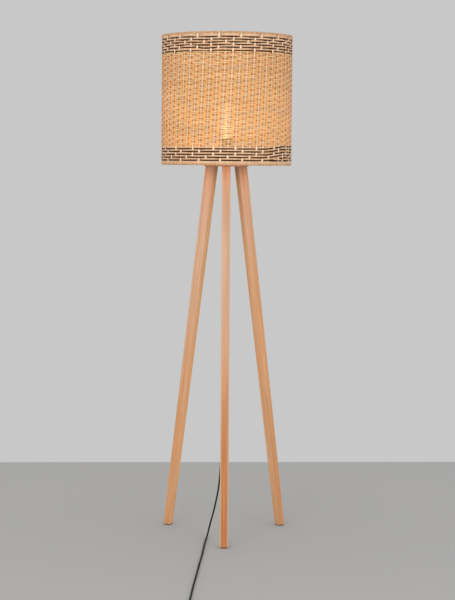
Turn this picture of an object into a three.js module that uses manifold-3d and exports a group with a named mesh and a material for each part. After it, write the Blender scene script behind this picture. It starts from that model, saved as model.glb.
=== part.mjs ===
// Rattan floor lamp: a woven drum shade over a three-legged wooden stand, with its bulb, lamp holder,
// fittings and lead. Millimetres, +Z up. The pieces are placed from the lamp's axis, on the floor, with
// the front leg towards -Y. The whole lamp is then moved so that the origin is the middle of its box.

import Module from "manifold-3d";
import * as THREE from "three";
import { mergeVertices } from "three/addons/utils/BufferGeometryUtils.js";

const wasm = await Module();
wasm.setup();

// Clearances, and the facets of round pieces
const seatGap = 0.3;
const cutOverrun = 2;
const rimSides = 48;
const turnedSides = 24;
const roundSides = 16;
const hexSides = 6;
const cornerSteps = 2;

// Stand: the height is to the underside of the disc, and the circles carry the legs' centre lines
const stand = { height: 1147, footCircle: 207.5, hubCircle: 52 };
const hub = { radius: 68.5, thickness: 25, chamfer: 2 };
const leg = { width: 26, topDepth: 33, footDepth: 23, edgeRadius: 3 };
const pad = { thickness: 2.5, inset: 1.5 };
const legTurns = { front: -Math.PI / 2, left: (5 * Math.PI) / 6, right: Math.PI / 6 };

// What fastens each leg: a bolt towards the axis, in an insert, and a dowel away from it
const bolt = { inset: 6, shankRadius: 3, length: 40, headRadius: 5, headHeight: 6, recess: 8 };
const boltSocket = { radius: 2.9, depth: 3 };
const insert = { radius: 4.5, length: 15 };
const boltHoleSpare = 2;
const dowel = { outset: 8.5, radius: 4, inHub: 12, inLeg: 18, chamfer: 1 };

// Fittings under the disc
const nipple = { radius: 5, bore: 3.6, inGrip: 10 };
const washer = { radius: 13, thickness: 1.5 };
const nut = { radius: 9.8, thickness: 4 };
const grip = { radius: 9, headLength: 13, shoulderRadius: 7, taperLength: 28, tailRadius: 3.6 };

// Lamp holder, measured up from the top of the disc
const holder = {
  radius: 20,
  height: 60,
  capHeight: 20,
  capWall: 3.2,
  neckRadius: 10,
  neckHeight: 4,
  shoulderHeight: 14,
  bossHeight: 10,
  shellWall: 1.8,
  lipRadius: 15.5,
  lipThickness: 2,
  coreThickness: 8.7,
};
const screwShell = { bore: 13.8, wall: 0.6, flange: 3.5, height: 27 };
const contactStrip = { length: 13, width: 5, thickness: 0.6, rise: 2.1 };
const terminalScrew = { offset: 10, headRadius: 2.8, headHeight: 2, shankRadius: 1.5, length: 6 };
const ringNut = { radius: 27, height: 6, chamfer: 1, lift: 3 };
const fitter = { radius: 30, thickness: 1.6 };

// Bulb, measured up from its own contact
const bulb = { radius: 32, height: 140, wall: 0.8, neckRadius: 11.4, neckDepth: 8 };
const bulbCap = { height: 28, bore: 11.8, root: 12.4, crest: 13.1, threads: 5 };
const bulbContact = { tipRadius: 3.4, radius: 4.6, tipHeight: 0.8, height: 2 };
const bulbInsulator = { lowRadius: 5.5, highRadius: 11.2, height: 4.6 };
const stem = { rodRadius: 1.6, buttonRadius: 2.6, buttonHeight: 3, waistRadius: 4, flareHeight: 14 };
const filament = {
  wireRadius: 0.5,
  sides: 4,
  lowCircle: 9,
  highCircle: 7,
  low: 56,
  high: 112,
  legs: 6,
  steps: 9,
};
const filamentLegShares = [0.12, 0.5, 0.88];
const bulbShape = {
  heightShares: [0, 0.06, 0.16, 0.28, 0.4, 0.51, 0.6, 0.69, 0.78, 0.86, 0.925, 0.97, 0.993],
  radiusShares: [0.41, 0.44, 0.55, 0.71, 0.86, 0.96, 1, 0.985, 0.9, 0.74, 0.54, 0.33, 0.15],
};

// Shade: the rise is from its bottom edge to its fitter
const shade = { radius: 200, height: 395, wall: 3.2, rise: 51 };
const weaveSlot = { width: 20, height: 6, columns: 24, rows: 6 };
const rim = { wireRadius: 1.7, peel: 0.7, depth: 7, easeShare: 0.35 };
const spoke = { radius: 2 };
const spokeTurns = { back: Math.PI / 2, left: (-5 * Math.PI) / 6, right: -Math.PI / 6 };

// Cord: the routes are points on the floor and in the air, chosen by hand
const cord = { radius: 2.5, sides: 8, runSteps: 78, shortSteps: 4 };
const cordRunRoute = [
  [0, 0, 1060],
  [0, 0, 980],
  [-0.5, 0, 840],
  [-1, 0, 690],
  [-2.5, 0, 520],
  [-5, -0.5, 380],
  [-8, -1.5, 280],
  [-12, -3, 205],
  [-17.5, -6, 143],
  [-24.5, -13, 105],
  [-32, -23, 73],
  [-40.5, -38, 44],
  [-47, -58, 22],
  [-51, -79, 9],
  [-54, -101, 3.6],
  [-56.5, -128, 2.7],
  [-60, -200, 2.7],
  [-65, -310, 2.7],
  [-72, -430, 2.7],
  [-78, -545, 2.7],
  [-84.5, -660, 2.7],
  [-89.5, -770, 2.7],
  [-91.5, -830, 2.7],
  [-87, -864, 2.7],
  [-74, -889, 2.7],
  [-55, -902, 3.4],
  [-36, -905, 6],
];

// Coil: loops in two layers, entered and left straight along X
const coil = { middleRadius: 30, loops: 4.5, turnGap: 0.5, stepsPerLoop: 24, sides: 6 };
const tie = { width: 8, thickness: 0.8 };

// In-line switch, lying along X behind the point where the cord turns
const inlineSwitch = {
  x: 35,
  y: -905,
  length: 62,
  width: 26,
  height: 18,
  endWidth: 14,
  taper: 13,
  split: 8.4,
  wall: 1.8,
  edge: 1.6,
};
const rocker = {
  reach: 10.2,
  width: 11,
  pivotDepth: 3.6,
  topAngle: (28 * Math.PI) / 180,
  lowAngle: (-12 * Math.PI) / 180,
  dip: 2.6,
  footHalf: 6,
  footDepth: 3.5,
  tilt: (7 * Math.PI) / 180,
  arcSteps: 3,
};
const trunnion = { radius: 1.2, reach: 1.1 };
const collar = { wall: 1.6, depth: 7.6 };
const switchContact = { length: 22, width: 4, thickness: 0.8, riser: 6.6, hook: 5 };
const relief = { length: 22, collarRadius: 5.4, collarLength: 4, tailRadius: 3.4 };

// Plug, flat on the floor beside the coil, its pins towards -X
const plug = { length: 36, width: 26, thickness: 13.6, throat: 12, shoulder: 12, edge: 2.4, gapToCoil: 22 };
const plugTail = { length: 22, radius: 5, endRadius: 3.4 };
const pin = { radius: 2, length: 19, spread: 9.5, tip: 1 };

// Places that follow from the sizes above
const hubTop = stand.height + hub.thickness;
const legFoot = pad.thickness + seatGap;
const legTop = stand.height - seatGap;
const boltCircle = stand.hubCircle - bolt.inset;
const dowelCircle = stand.hubCircle + dowel.outset;
const boltSeat = hubTop - bolt.recess + seatGap;
const boltTip = boltSeat - bolt.length;
const washerTop = stand.height - seatGap;
const nutTop = washerTop - washer.thickness - seatGap;
const gripTop = nutTop - nut.thickness - seatGap;
const gripTail = gripTop - grip.headLength - grip.taperLength;
const nippleLow = gripTop - nipple.inGrip;
const shellInner = holder.radius - holder.shellWall;
const shellLow = holder.capHeight + seatGap;
const coreTop = shellLow + holder.coreThickness;
const lowerNutFoot = shellLow + ringNut.lift;
const fitterFoot = lowerNutFoot + ringNut.height + seatGap;
const upperNutFoot = fitterFoot + fitter.thickness + seatGap;
const contactFoot = coreTop + seatGap;
const bulbFoot = hubTop + contactFoot + contactStrip.rise + contactStrip.thickness + seatGap;
const shadeFoot = hubTop + fitterFoot - shade.rise;
const wallMiddle = shade.radius - shade.wall / 2;
const channelInner = rim.wireRadius + seatGap;
const channelOuter = channelInner + rim.peel;
const wireHeight = rim.peel + seatGap + rim.wireRadius;
const wallFoot = wireHeight + rim.wireRadius + seatGap;
const reliefReach = inlineSwitch.length / 2 + relief.length + 2 * seatGap;

// Finishes, each with its colour, roughness and metalness
const finishes = {
  beech: [0xd3a67c, 0.55, 0],
  rattan: [0xdfae7e, 0.7, 0],
  binding: [0xdcab82, 0.7, 0],
  felt: [0x4a423a, 0.95, 0],
  zincSteel: [0xb9babb, 0.35, 1],
  brass: [0xc9a14e, 0.35, 1],
  wire: [0xd8d2c8, 0.45, 0.2],
  blackPlastic: [0x171615, 0.42, 0],
  cordSheath: [0x171516, 0.5, 0],
  ceramic: [0xe8e4da, 0.4, 0],
  glass: [0xf4dfba, 0.05, 0],
  filament: [0xffb35c, 0.6, 0],
  capMetal: [0xc4c0b6, 0.3, 1],
};

const lamp = new THREE.Group();

// Turns a closed three.js geometry into a solid with its faces pointing out
function solidOf(geometry) {
  geometry.deleteAttribute("normal");
  geometry.deleteAttribute("uv");
  const merged = mergeVertices(geometry);
  const places = merged.attributes.position;
  const corners = merged.index.array;
  const kept = [];
  let volume = 0;
  const [a, b, c] = [new THREE.Vector3(), new THREE.Vector3(), new THREE.Vector3()];
  for (let first = 0; first < corners.length; first += 3) {
    const [i, j, k] = corners.slice(first, first + 3);
    if (i === j || j === k || k === i) continue;
    kept.push(i, j, k);
    a.fromBufferAttribute(places, i);
    b.fromBufferAttribute(places, j);
    c.fromBufferAttribute(places, k);
    volume += a.dot(b.cross(c));
  }
  if (volume < 0) kept.reverse();
  const mesh = new wasm.Mesh({
    numProp: 3,
    vertProperties: new Float32Array(places.array),
    triVerts: new Uint32Array(kept),
  });
  return new wasm.Manifold(mesh);
}

// A solid turned about Z from an outline of [radius, height] points, moved to a place in plan
function turned(outline, sides = turnedSides, place = [0, 0]) {
  const points = outline.map(([radius, height]) => new THREE.Vector2(radius, height));
  const geometry = new THREE.LatheGeometry(points, sides);
  geometry.rotateX(Math.PI / 2);
  geometry.translate(place[0], place[1], 0);
  return solidOf(geometry);
}

// A ring turned about Z, whose outline closes on itself
function ring(outline, sides = turnedSides) {
  return turned([...outline, outline[0]], sides);
}

function rod(radius, low, high, sides = roundSides, place = [0, 0]) {
  return turned([[0, low], [radius, low], [radius, high], [0, high]], sides, place);
}

// The radius of a faceted hole that clears a round piece by the seat gap, whichever way they are turned
function holeFor(radius, sides = roundSides) {
  return (radius + seatGap) / Math.cos(Math.PI / sides);
}

// A solid skinned over rings of points that all have the same count, the lowest ring first
function lofted(rings) {
  const count = rings[0].length;
  const points = rings.flat();
  const faces = [];
  for (let level = 0; level + 1 < rings.length; level += 1) {
    for (let step = 0; step < count; step += 1) {
      const here = level * count + step;
      const next = level * count + ((step + 1) % count);
      faces.push(here, next, next + count, here, next + count, here + count);
    }
  }
  const last = (rings.length - 1) * count;
  for (let step = 1; step + 1 < count; step += 1) {
    faces.push(0, step + 1, step, last, last + step, last + step + 1);
  }
  const geometry = new THREE.BufferGeometry().setFromPoints(points);
  geometry.setIndex(faces);
  return solidOf(geometry);
}

function roundedRectangle(length, width, radius, centre, height) {
  const points = [];
  const quarters = [[1, 1], [-1, 1], [-1, -1], [1, -1]];
  quarters.forEach(([alongX, alongY], quarter) => {
    const x = centre + alongX * (length / 2 - radius);
    const y = alongY * (width / 2 - radius);
    for (let step = 0; step <= cornerSteps; step += 1) {
      const angle = ((quarter + step / cornerSteps) * Math.PI) / 2;
      points.push(new THREE.Vector3(x + radius * Math.cos(angle), y + radius * Math.sin(angle), height));
    }
  });
  return points;
}

// A plate cut to an outline in the XZ plane, its width centred on Y
function uprightPlate(points, width) {
  const shape = new THREE.Shape(points.map(([x, z]) => new THREE.Vector2(x, z)));
  const geometry = new THREE.ExtrudeGeometry(shape, { depth: width, bevelEnabled: false });
  geometry.rotateX(Math.PI / 2);
  geometry.translate(0, width / 2, 0);
  return solidOf(geometry);
}

function box(length, width, low, high) {
  const geometry = new THREE.BoxGeometry(length, width, high - low);
  geometry.translate(0, 0, (low + high) / 2);
  return solidOf(geometry);
}

// A round tube of even facets along a smooth path
function tubeAlong(path, radius, sides, steps) {
  const section = new THREE.Shape();
  for (let side = 0; side < sides; side += 1) {
    const angle = (2 * Math.PI * side) / sides;
    const point = [radius * Math.cos(angle), radius * Math.sin(angle)];
    if (side === 0) section.moveTo(...point);
    else section.lineTo(...point);
  }
  section.closePath();
  return solidOf(new THREE.ExtrudeGeometry(section, { steps, bevelEnabled: false, extrudePath: path }));
}

function smoothPath(points) {
  return new THREE.CatmullRomCurve3(points, false, "centripetal");
}

function addPiece(name, solid, finish, parent = lamp) {
  const { vertProperties, triVerts, numProp } = solid.getMesh();
  const geometry = new THREE.BufferGeometry();
  geometry.setAttribute("position", new THREE.BufferAttribute(vertProperties, numProp));
  geometry.setIndex(new THREE.BufferAttribute(triVerts, 1));
  const faceted = geometry.toNonIndexed();
  faceted.computeVertexNormals();
  const [color, roughness, metalness] = finish;
  const material = new THREE.MeshStandardMaterial({ color, roughness, metalness });
  const mesh = new THREE.Mesh(faceted, material);
  mesh.name = name;
  parent.add(mesh);
  return mesh;
}

function addGroup(z = 0, turn = 0) {
  const group = new THREE.Group();
  group.position.z = z;
  group.rotation.z = turn;
  lamp.add(group);
  return group;
}

// The radius of a leg's centre line at a height
function legCircleAt(height) {
  return stand.footCircle + ((stand.hubCircle - stand.footCircle) * height) / stand.height;
}

function legDepthAt(height) {
  return leg.footDepth + ((leg.topDepth - leg.footDepth) * height) / stand.height;
}

function legRing(height) {
  return roundedRectangle(legDepthAt(height), leg.width, leg.edgeRadius, legCircleAt(height), height);
}

// A leg along +X, bored from its top for its insert, bolt and dowel
function legBar() {
  const insertHole = rod(
    holeFor(insert.radius), legTop - insert.length - seatGap, legTop + cutOverrun, roundSides, [boltCircle, 0]);
  const boltHole = rod(
    holeFor(bolt.shankRadius), boltTip - boltHoleSpare, legTop, roundSides, [boltCircle, 0]);
  const dowelHole = rod(
    holeFor(dowel.radius), legTop - dowel.inLeg - seatGap, legTop + cutOverrun, roundSides, [dowelCircle, 0]);
  return lofted([legRing(legFoot), legRing(legTop)]).subtract(insertHole).subtract(boltHole).subtract(dowelHole);
}

function footPad() {
  const length = leg.footDepth - 2 * pad.inset;
  const width = leg.width - 2 * pad.inset;
  const heights = [0, pad.thickness];
  return lofted(heights.map((height) => roundedRectangle(length, width, leg.edgeRadius, legCircleAt(0), height)));
}

function legBolt() {
  const place = [boltCircle, 0];
  const headTop = boltSeat + bolt.headHeight;
  const outline = [
    [0, boltTip],
    [bolt.shankRadius, boltTip],
    [bolt.shankRadius, boltSeat],
    [bolt.headRadius, boltSeat],
    [bolt.headRadius, headTop],
    [0, headTop],
  ];
  const socket = rod(boltSocket.radius, headTop - boltSocket.depth, headTop + cutOverrun, hexSides, place);
  return turned(outline, roundSides, place).subtract(socket);
}

function legInsert() {
  const place = [boltCircle, 0];
  const low = legTop - insert.length;
  const bore = rod(holeFor(bolt.shankRadius), low - cutOverrun, legTop + cutOverrun, roundSides, place);
  return rod(insert.radius, low, legTop, roundSides, place).subtract(bore);
}

function legDowel() {
  const low = legTop - dowel.inLeg;
  const high = stand.height + dowel.inHub;
  const endRadius = dowel.radius - dowel.chamfer;
  const outline = [
    [0, low],
    [endRadius, low],
    [dowel.radius, low + dowel.chamfer],
    [dowel.radius, high - dowel.chamfer],
    [endRadius, high],
    [0, high],
  ];
  return turned(outline, roundSides, [dowelCircle, 0]);
}

function hubDisc() {
  const edge = hub.radius - hub.chamfer;
  const outline = [
    [0, stand.height],
    [edge, stand.height],
    [hub.radius, stand.height + hub.chamfer],
    [hub.radius, hubTop - hub.chamfer],
    [edge, hubTop],
    [0, hubTop],
  ];
  const below = stand.height - cutOverrun;
  const above = hubTop + cutOverrun;
  let disc = turned(outline, rimSides).subtract(rod(holeFor(nipple.radius), below, above));
  for (const turn of Object.values(legTurns)) {
    const boltPlace = [boltCircle * Math.cos(turn), boltCircle * Math.sin(turn)];
    const dowelPlace = [dowelCircle * Math.cos(turn), dowelCircle * Math.sin(turn)];
    disc = disc.subtract(rod(holeFor(bolt.shankRadius), below, above, roundSides, boltPlace));
    disc = disc.subtract(rod(holeFor(bolt.headRadius), hubTop - bolt.recess, above, roundSides, boltPlace));
    const dowelEnd = stand.height + dowel.inHub + seatGap;
    disc = disc.subtract(rod(holeFor(dowel.radius), below, dowelEnd, roundSides, dowelPlace));
  }
  return disc;
}

function addStand() {
  addPiece("hub_disc", hubDisc(), finishes.beech);
  for (const [side, turn] of Object.entries(legTurns)) {
    const group = addGroup(0, turn);
    addPiece(`leg_${side}`, legBar(), finishes.beech, group);
    addPiece(`leg_bolt_${side}`, legBolt(), finishes.zincSteel, group);
    addPiece(`leg_insert_${side}`, legInsert(), finishes.brass, group);
    addPiece(`leg_dowel_${side}`, legDowel(), finishes.beech, group);
    addPiece(`foot_pad_${side}`, footPad(), finishes.felt, group);
  }
}

// The tapered strain relief, bored from its top for the nipple
function cordGrip() {
  const shoulder = gripTop - grip.headLength;
  const outline = [
    [0, gripTail],
    [grip.tailRadius, gripTail],
    [grip.shoulderRadius, shoulder],
    [grip.radius, shoulder],
    [grip.radius, gripTop],
    [0, gripTop],
  ];
  const bore = rod(holeFor(nipple.radius), nippleLow - seatGap, gripTop + cutOverrun);
  return turned(outline).subtract(bore);
}

function tube(outer, inner, low, high, sides = roundSides) {
  return ring([[inner, low], [outer, low], [outer, high], [inner, high]], sides);
}

function addFittings() {
  const bore = holeFor(nipple.radius);
  const washerFoot = washerTop - washer.thickness;
  const nutFoot = nutTop - nut.thickness;
  const nutBore = rod(bore, nutFoot - cutOverrun, nutTop + cutOverrun);
  const nippleTop = hubTop + seatGap + holder.bossHeight;
  addPiece("threaded_nipple", tube(nipple.radius, nipple.bore, nippleLow, nippleTop), finishes.zincSteel);
  addPiece("nipple_washer", tube(washer.radius, bore, washerFoot, washerTop), finishes.zincSteel);
  addPiece("nipple_nut", rod(nut.radius, nutFoot, nutTop, hexSides).subtract(nutBore), finishes.zincSteel);
  addPiece("cord_grip", cordGrip(), finishes.blackPlastic);
  addPiece("cord_inner", rod(cord.radius, nippleLow, hubTop + shellLow - seatGap), finishes.cordSheath);
}

// The lower part of the holder's case, which screws onto the nipple
function holderCap() {
  const bore = holeFor(nipple.radius, turnedSides);
  const inner = holder.radius - holder.capWall;
  return ring([
    [bore, seatGap],
    [holder.neckRadius, seatGap],
    [holder.neckRadius, holder.neckHeight],
    [holder.radius, holder.shoulderHeight],
    [holder.radius, holder.capHeight],
    [inner, holder.capHeight],
    [inner, holder.shoulderHeight + seatGap],
    [holder.neckRadius, holder.bossHeight],
    [bore, holder.bossHeight],
  ]);
}

function holderShell() {
  const lipFoot = holder.height - holder.lipThickness;
  return ring([
    [shellInner, shellLow],
    [holder.radius, shellLow],
    [holder.radius, holder.height],
    [holder.lipRadius, holder.height],
    [holder.lipRadius, lipFoot],
    [shellInner, lipFoot],
  ]);
}

// The insulating core, with a hole from below for each terminal screw
function holderCore() {
  let core = rod(shellInner - seatGap, shellLow, coreTop, turnedSides);
  for (const side of [-1, 1]) {
    const place = [side * terminalScrew.offset, 0];
    const headHole = holeFor(terminalScrew.headRadius);
    const headEnd = shellLow + terminalScrew.headHeight + seatGap;
    const shankEnd = shellLow + terminalScrew.headHeight + terminalScrew.length - seatGap;
    core = core.subtract(rod(headHole, shellLow - cutOverrun, headEnd, roundSides, place));
    core = core.subtract(rod(holeFor(terminalScrew.shankRadius), shellLow, shankEnd, roundSides, place));
  }
  return core;
}

function terminalScrewAt(side) {
  const headTop = shellLow + terminalScrew.headHeight;
  const outline = [
    [0, shellLow],
    [terminalScrew.headRadius, shellLow],
    [terminalScrew.headRadius, headTop],
    [terminalScrew.shankRadius, headTop],
    [terminalScrew.shankRadius, headTop + terminalScrew.length - 2 * seatGap],
    [0, headTop + terminalScrew.length - 2 * seatGap],
  ];
  return turned(outline, roundSides, [side * terminalScrew.offset, 0]);
}

function screwShellCup() {
  const low = coreTop + seatGap;
  const outer = screwShell.bore + screwShell.wall;
  const high = low + screwShell.height;
  return ring([
    [screwShell.bore - screwShell.flange, low],
    [outer, low],
    [outer, high],
    [screwShell.bore, high],
    [screwShell.bore, low + screwShell.wall],
    [screwShell.bore - screwShell.flange, low + screwShell.wall],
  ]);
}

// A strip that lies on the core and rises under the bulb
function centreContact() {
  const half = contactStrip.length / 2;
  const low = contactFoot;
  const high = low + contactStrip.rise;
  const flat = half / 2;
  return uprightPlate([
    [-half, low],
    [-flat, low],
    [0, high],
    [flat, high],
    [flat, high + contactStrip.thickness],
    [-contactStrip.thickness / 2, high + contactStrip.thickness],
    [-flat - contactStrip.thickness / 2, low + contactStrip.thickness],
    [-half, low + contactStrip.thickness],
  ], contactStrip.width);
}

function ringNutAt(foot) {
  const bore = holeFor(holder.radius, turnedSides);
  const top = foot + ringNut.height;
  const edge = ringNut.radius - ringNut.chamfer;
  return ring([
    [bore, foot],
    [edge, foot],
    [ringNut.radius, foot + ringNut.chamfer],
    [ringNut.radius, top - ringNut.chamfer],
    [edge, top],
    [bore, top],
  ]);
}

function addHolder() {
  const group = addGroup(hubTop);
  addPiece("holder_cap", holderCap(), finishes.blackPlastic, group);
  addPiece("holder_shell", holderShell(), finishes.blackPlastic, group);
  addPiece("holder_core", holderCore(), finishes.ceramic, group);
  addPiece("terminal_screw_live", terminalScrewAt(1), finishes.brass, group);
  addPiece("terminal_screw_neutral", terminalScrewAt(-1), finishes.brass, group);
  addPiece("screw_shell", screwShellCup(), finishes.brass, group);
  addPiece("centre_contact", centreContact(), finishes.brass, group);
  addPiece("ring_nut_lower", ringNutAt(lowerNutFoot), finishes.blackPlastic, group);
  addPiece("ring_nut_upper", ringNutAt(upperNutFoot), finishes.blackPlastic, group);
}

// One side of the bulb's glass, drawn in by an inset, from its shoulder up to its tip on the axis
function glassSide(inset) {
  const foot = bulbCap.height + seatGap + inset;
  const tip = bulb.height - inset;
  const side = bulbShape.heightShares.map((share, index) => [
    (bulb.radius - inset) * bulbShape.radiusShares[index],
    foot + share * (tip - foot),
  ]);
  return [...side, [0, tip]];
}

// A glass shell, open at the neck that sits in the cap
function bulbGlass() {
  const neckFoot = bulbCap.height - bulb.neckDepth;
  const innerNeck = bulb.neckRadius - bulb.wall;
  const outer = glassSide(0);
  const inner = glassSide(bulb.wall).reverse();
  const shoulder = bulbCap.height + seatGap;
  return turned([
    [innerNeck, neckFoot],
    [bulb.neckRadius, neckFoot],
    [bulb.neckRadius, shoulder],
    ...outer,
    ...inner,
    [innerNeck, shoulder + bulb.wall],
    [innerNeck, neckFoot],
  ]);
}

// The thread is drawn as rounded ribs
function bulbCapShell() {
  const low = bulbContact.height + bulbInsulator.height + 2 * seatGap;
  const rise = (bulbCap.height - low) / (2 * bulbCap.threads + 1);
  const ribs = [];
  for (let step = 0; step <= 2 * bulbCap.threads + 1; step += 1) {
    ribs.push([step % 2 === 0 ? bulbCap.root : bulbCap.crest, low + step * rise]);
  }
  return ring([[bulbCap.bore, low], ...ribs, [bulbCap.bore, bulbCap.height]]);
}

function bulbInsulatorCone() {
  const low = bulbContact.height + seatGap;
  const high = low + bulbInsulator.height;
  return turned([[0, low], [bulbInsulator.lowRadius, low], [bulbInsulator.highRadius, high], [0, high]]);
}

function bulbContactButton() {
  const outline = [
    [0, 0],
    [bulbContact.tipRadius, 0],
    [bulbContact.radius, bulbContact.tipHeight],
    [bulbContact.radius, bulbContact.height],
    [0, bulbContact.height],
  ];
  return turned(outline, roundSides);
}

// The glass stem: a flare in the neck, a button that the filament springs from, and a rod to its top
function bulbStem() {
  const foot = bulbCap.height - bulb.neckDepth;
  const waist = foot + stem.flareHeight;
  const flare = bulb.neckRadius - bulb.wall - seatGap;
  const button = filament.low - stem.buttonHeight / 2;
  const top = filament.high + stem.buttonHeight;
  const buttonHigh = button + stem.buttonHeight;
  return turned([
    [0, foot],
    [flare, foot],
    [stem.waistRadius, waist],
    [stem.rodRadius, button],
    [stem.buttonRadius, button],
    [stem.buttonRadius, buttonHigh],
    [stem.rodRadius, buttonHigh],
    [stem.rodRadius, top - stem.buttonHeight],
    [stem.buttonRadius, top],
    [0, top],
  ], roundSides);
}

// One wire that springs from the button, runs up and down round the stem, and comes back to the button
function bulbFilament() {
  const start = stem.buttonRadius + seatGap + filament.wireRadius;
  const corners = [];
  for (let step = 0; step <= filament.legs; step += 1) {
    const angle = (2 * Math.PI * step) / (filament.legs + 1);
    const atTop = step % 2 === 1;
    const circle = atTop ? filament.highCircle : filament.lowCircle;
    const height = atTop ? filament.high : filament.low;
    corners.push(new THREE.Vector3(circle * Math.cos(angle), circle * Math.sin(angle), height));
  }
  const first = new THREE.Vector3(start, 0, filament.low);
  const lastAngle = (2 * Math.PI * filament.legs) / (filament.legs + 1);
  const last = new THREE.Vector3(start * Math.cos(lastAngle), start * Math.sin(lastAngle), filament.low);
  const points = [first];
  corners.forEach((corner, index) => {
    points.push(corner);
    const next = corners[index + 1];
    if (next) filamentLegShares.forEach((share) => points.push(corner.clone().lerp(next, share)));
  });
  points.push(last);
  return tubeAlong(smoothPath(points), filament.wireRadius, filament.sides, filament.steps * (filament.legs + 1));
}

function addBulb() {
  const group = addGroup(bulbFoot);
  addPiece("bulb_glass", bulbGlass(), finishes.glass, group);
  addPiece("bulb_stem", bulbStem(), finishes.glass, group);
  addPiece("bulb_filament", bulbFilament(), finishes.filament, group);
  addPiece("bulb_cap", bulbCapShell(), finishes.capMetal, group);
  addPiece("bulb_insulator", bulbInsulatorCone(), finishes.blackPlastic, group);
  addPiece("bulb_contact", bulbContactButton(), finishes.capMetal, group);
}

// A rim's bound peel: a channel round the wire, open towards the wall; up is 1 at the foot, -1 at the top
function rimBinding(edge, up) {
  const level = (height) => edge + up * height;
  const ease = rim.easeShare * channelOuter;
  return ring([
    [wallMiddle - channelOuter, level(rim.depth)],
    [wallMiddle - channelOuter, level(ease)],
    [wallMiddle - channelOuter + ease, level(0)],
    [wallMiddle + channelOuter - ease, level(0)],
    [wallMiddle + channelOuter, level(ease)],
    [wallMiddle + channelOuter, level(rim.depth)],
    [wallMiddle + channelInner, level(rim.depth)],
    [wallMiddle + channelInner, level(rim.peel)],
    [wallMiddle - channelInner, level(rim.peel)],
    [wallMiddle - channelInner, level(rim.depth)],
  ], rimSides);
}

function rimWire(height) {
  const outline = [];
  for (let side = 0; side < hexSides; side += 1) {
    const angle = (2 * Math.PI * side) / hexSides;
    outline.push([wallMiddle + rim.wireRadius * Math.cos(angle), height + rim.wireRadius * Math.sin(angle)]);
  }
  return ring(outline, rimSides);
}

// A wire from the edge of the fitter down to the inside of the lower rim, along +X
function spokeWire() {
  const high = shade.rise + fitter.thickness / 2;
  const low = wireHeight;
  const slope = Math.atan2(high - low, wallMiddle - channelOuter - fitter.radius);
  const setBack = seatGap + spoke.radius * Math.sin(slope);
  const start = new THREE.Vector3(fitter.radius + setBack, 0, high);
  const end = new THREE.Vector3(wallMiddle - channelOuter - setBack, 0, low);
  return tubeAlong(new THREE.LineCurve3(start, end), spoke.radius, cord.sides, 1);
}

// The woven wall, open in a plain grid of low slots for the gaps that the weave leaves
function wovenWall() {
  const height = shade.height - 2 * wallFoot;
  const { width, columns, rows } = weaveSlot;
  const cuts = [];
  for (let row = 0; row < rows; row += 1) {
    const middle = wallFoot + (height * (row + 1 / 2)) / rows;
    const [low, high] = [middle - weaveSlot.height / 2, middle + weaveSlot.height / 2];
    const cut = box(2 * (shade.radius + cutOverrun), width, low, high);
    for (let column = 0; column < columns / 2; column += 1) {
      const facet = (column * rimSides) / columns + 1 / 2;
      cuts.push(cut.rotate([0, 0, (360 * facet) / rimSides]));
    }
  }
  const wall = tube(shade.radius, shade.radius - shade.wall, wallFoot, shade.height - wallFoot, rimSides);
  return wall.subtract(wasm.Manifold.union(cuts));
}

function addShade() {
  const group = addGroup(shadeFoot);
  const bore = holeFor(holder.radius, turnedSides);
  addPiece("woven_wall", wovenWall(), finishes.rattan, group);
  addPiece("rim_wire_bottom", rimWire(wireHeight), finishes.wire, group);
  addPiece("rim_wire_top", rimWire(shade.height - wireHeight), finishes.wire, group);
  addPiece("rim_binding_bottom", rimBinding(0, 1), finishes.binding, group);
  addPiece("rim_binding_top", rimBinding(shade.height, -1), finishes.binding, group);
  const fitterPlate = tube(fitter.radius, bore, shade.rise, shade.rise + fitter.thickness, turnedSides);
  addPiece("fitter_ring", fitterPlate, finishes.wire, group);
  for (const [side, turn] of Object.entries(spokeTurns)) {
    const turnedGroup = addGroup(shadeFoot, turn);
    addPiece(`spoke_${side}`, spokeWire(), finishes.wire, turnedGroup);
  }
}

// The coil's centre line: in by one turn's pitch a loop, up a layer round the middle, and out again
const coilPitch = 2 * cord.radius + coil.turnGap;
const coilOuter = coil.middleRadius + (coilPitch * coil.loops) / 4;
const coilFloor = cord.radius + tie.thickness + 2 * seatGap;
const coilX = inlineSwitch.x + reliefReach + coil.middleRadius;
const coilY = inlineSwitch.y - coilOuter;

function coilPoint(loop) {
  const half = coil.loops / 2;
  const inward = Math.min(loop, coil.loops - loop);
  const radius = coilOuter - coilPitch * inward;
  const climb = THREE.MathUtils.smoothstep(loop, half - 1 / 4, half + 1 / 4);
  const angle = Math.PI / 2 - 2 * Math.PI * loop;
  return new THREE.Vector3(
    coilX + radius * Math.cos(angle), coilY + radius * Math.sin(angle), coilFloor + coilPitch * climb);
}

function coilPoints() {
  const steps = coil.loops * coil.stepsPerLoop;
  const points = [];
  for (let step = 0; step <= steps; step += 1) points.push(coilPoint(step / coil.stepsPerLoop));
  return points;
}

// The least gap between two stretches of the coil that lie half a loop or more apart along it
function leastCoilGap(points) {
  let least = Infinity;
  const apart = coil.stepsPerLoop / 2;
  points.forEach((point, index) => {
    for (let other = index + apart; other < points.length; other += 1) {
      least = Math.min(least, point.distanceTo(points[other]) - 2 * cord.radius);
    }
  });
  return least;
}

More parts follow.
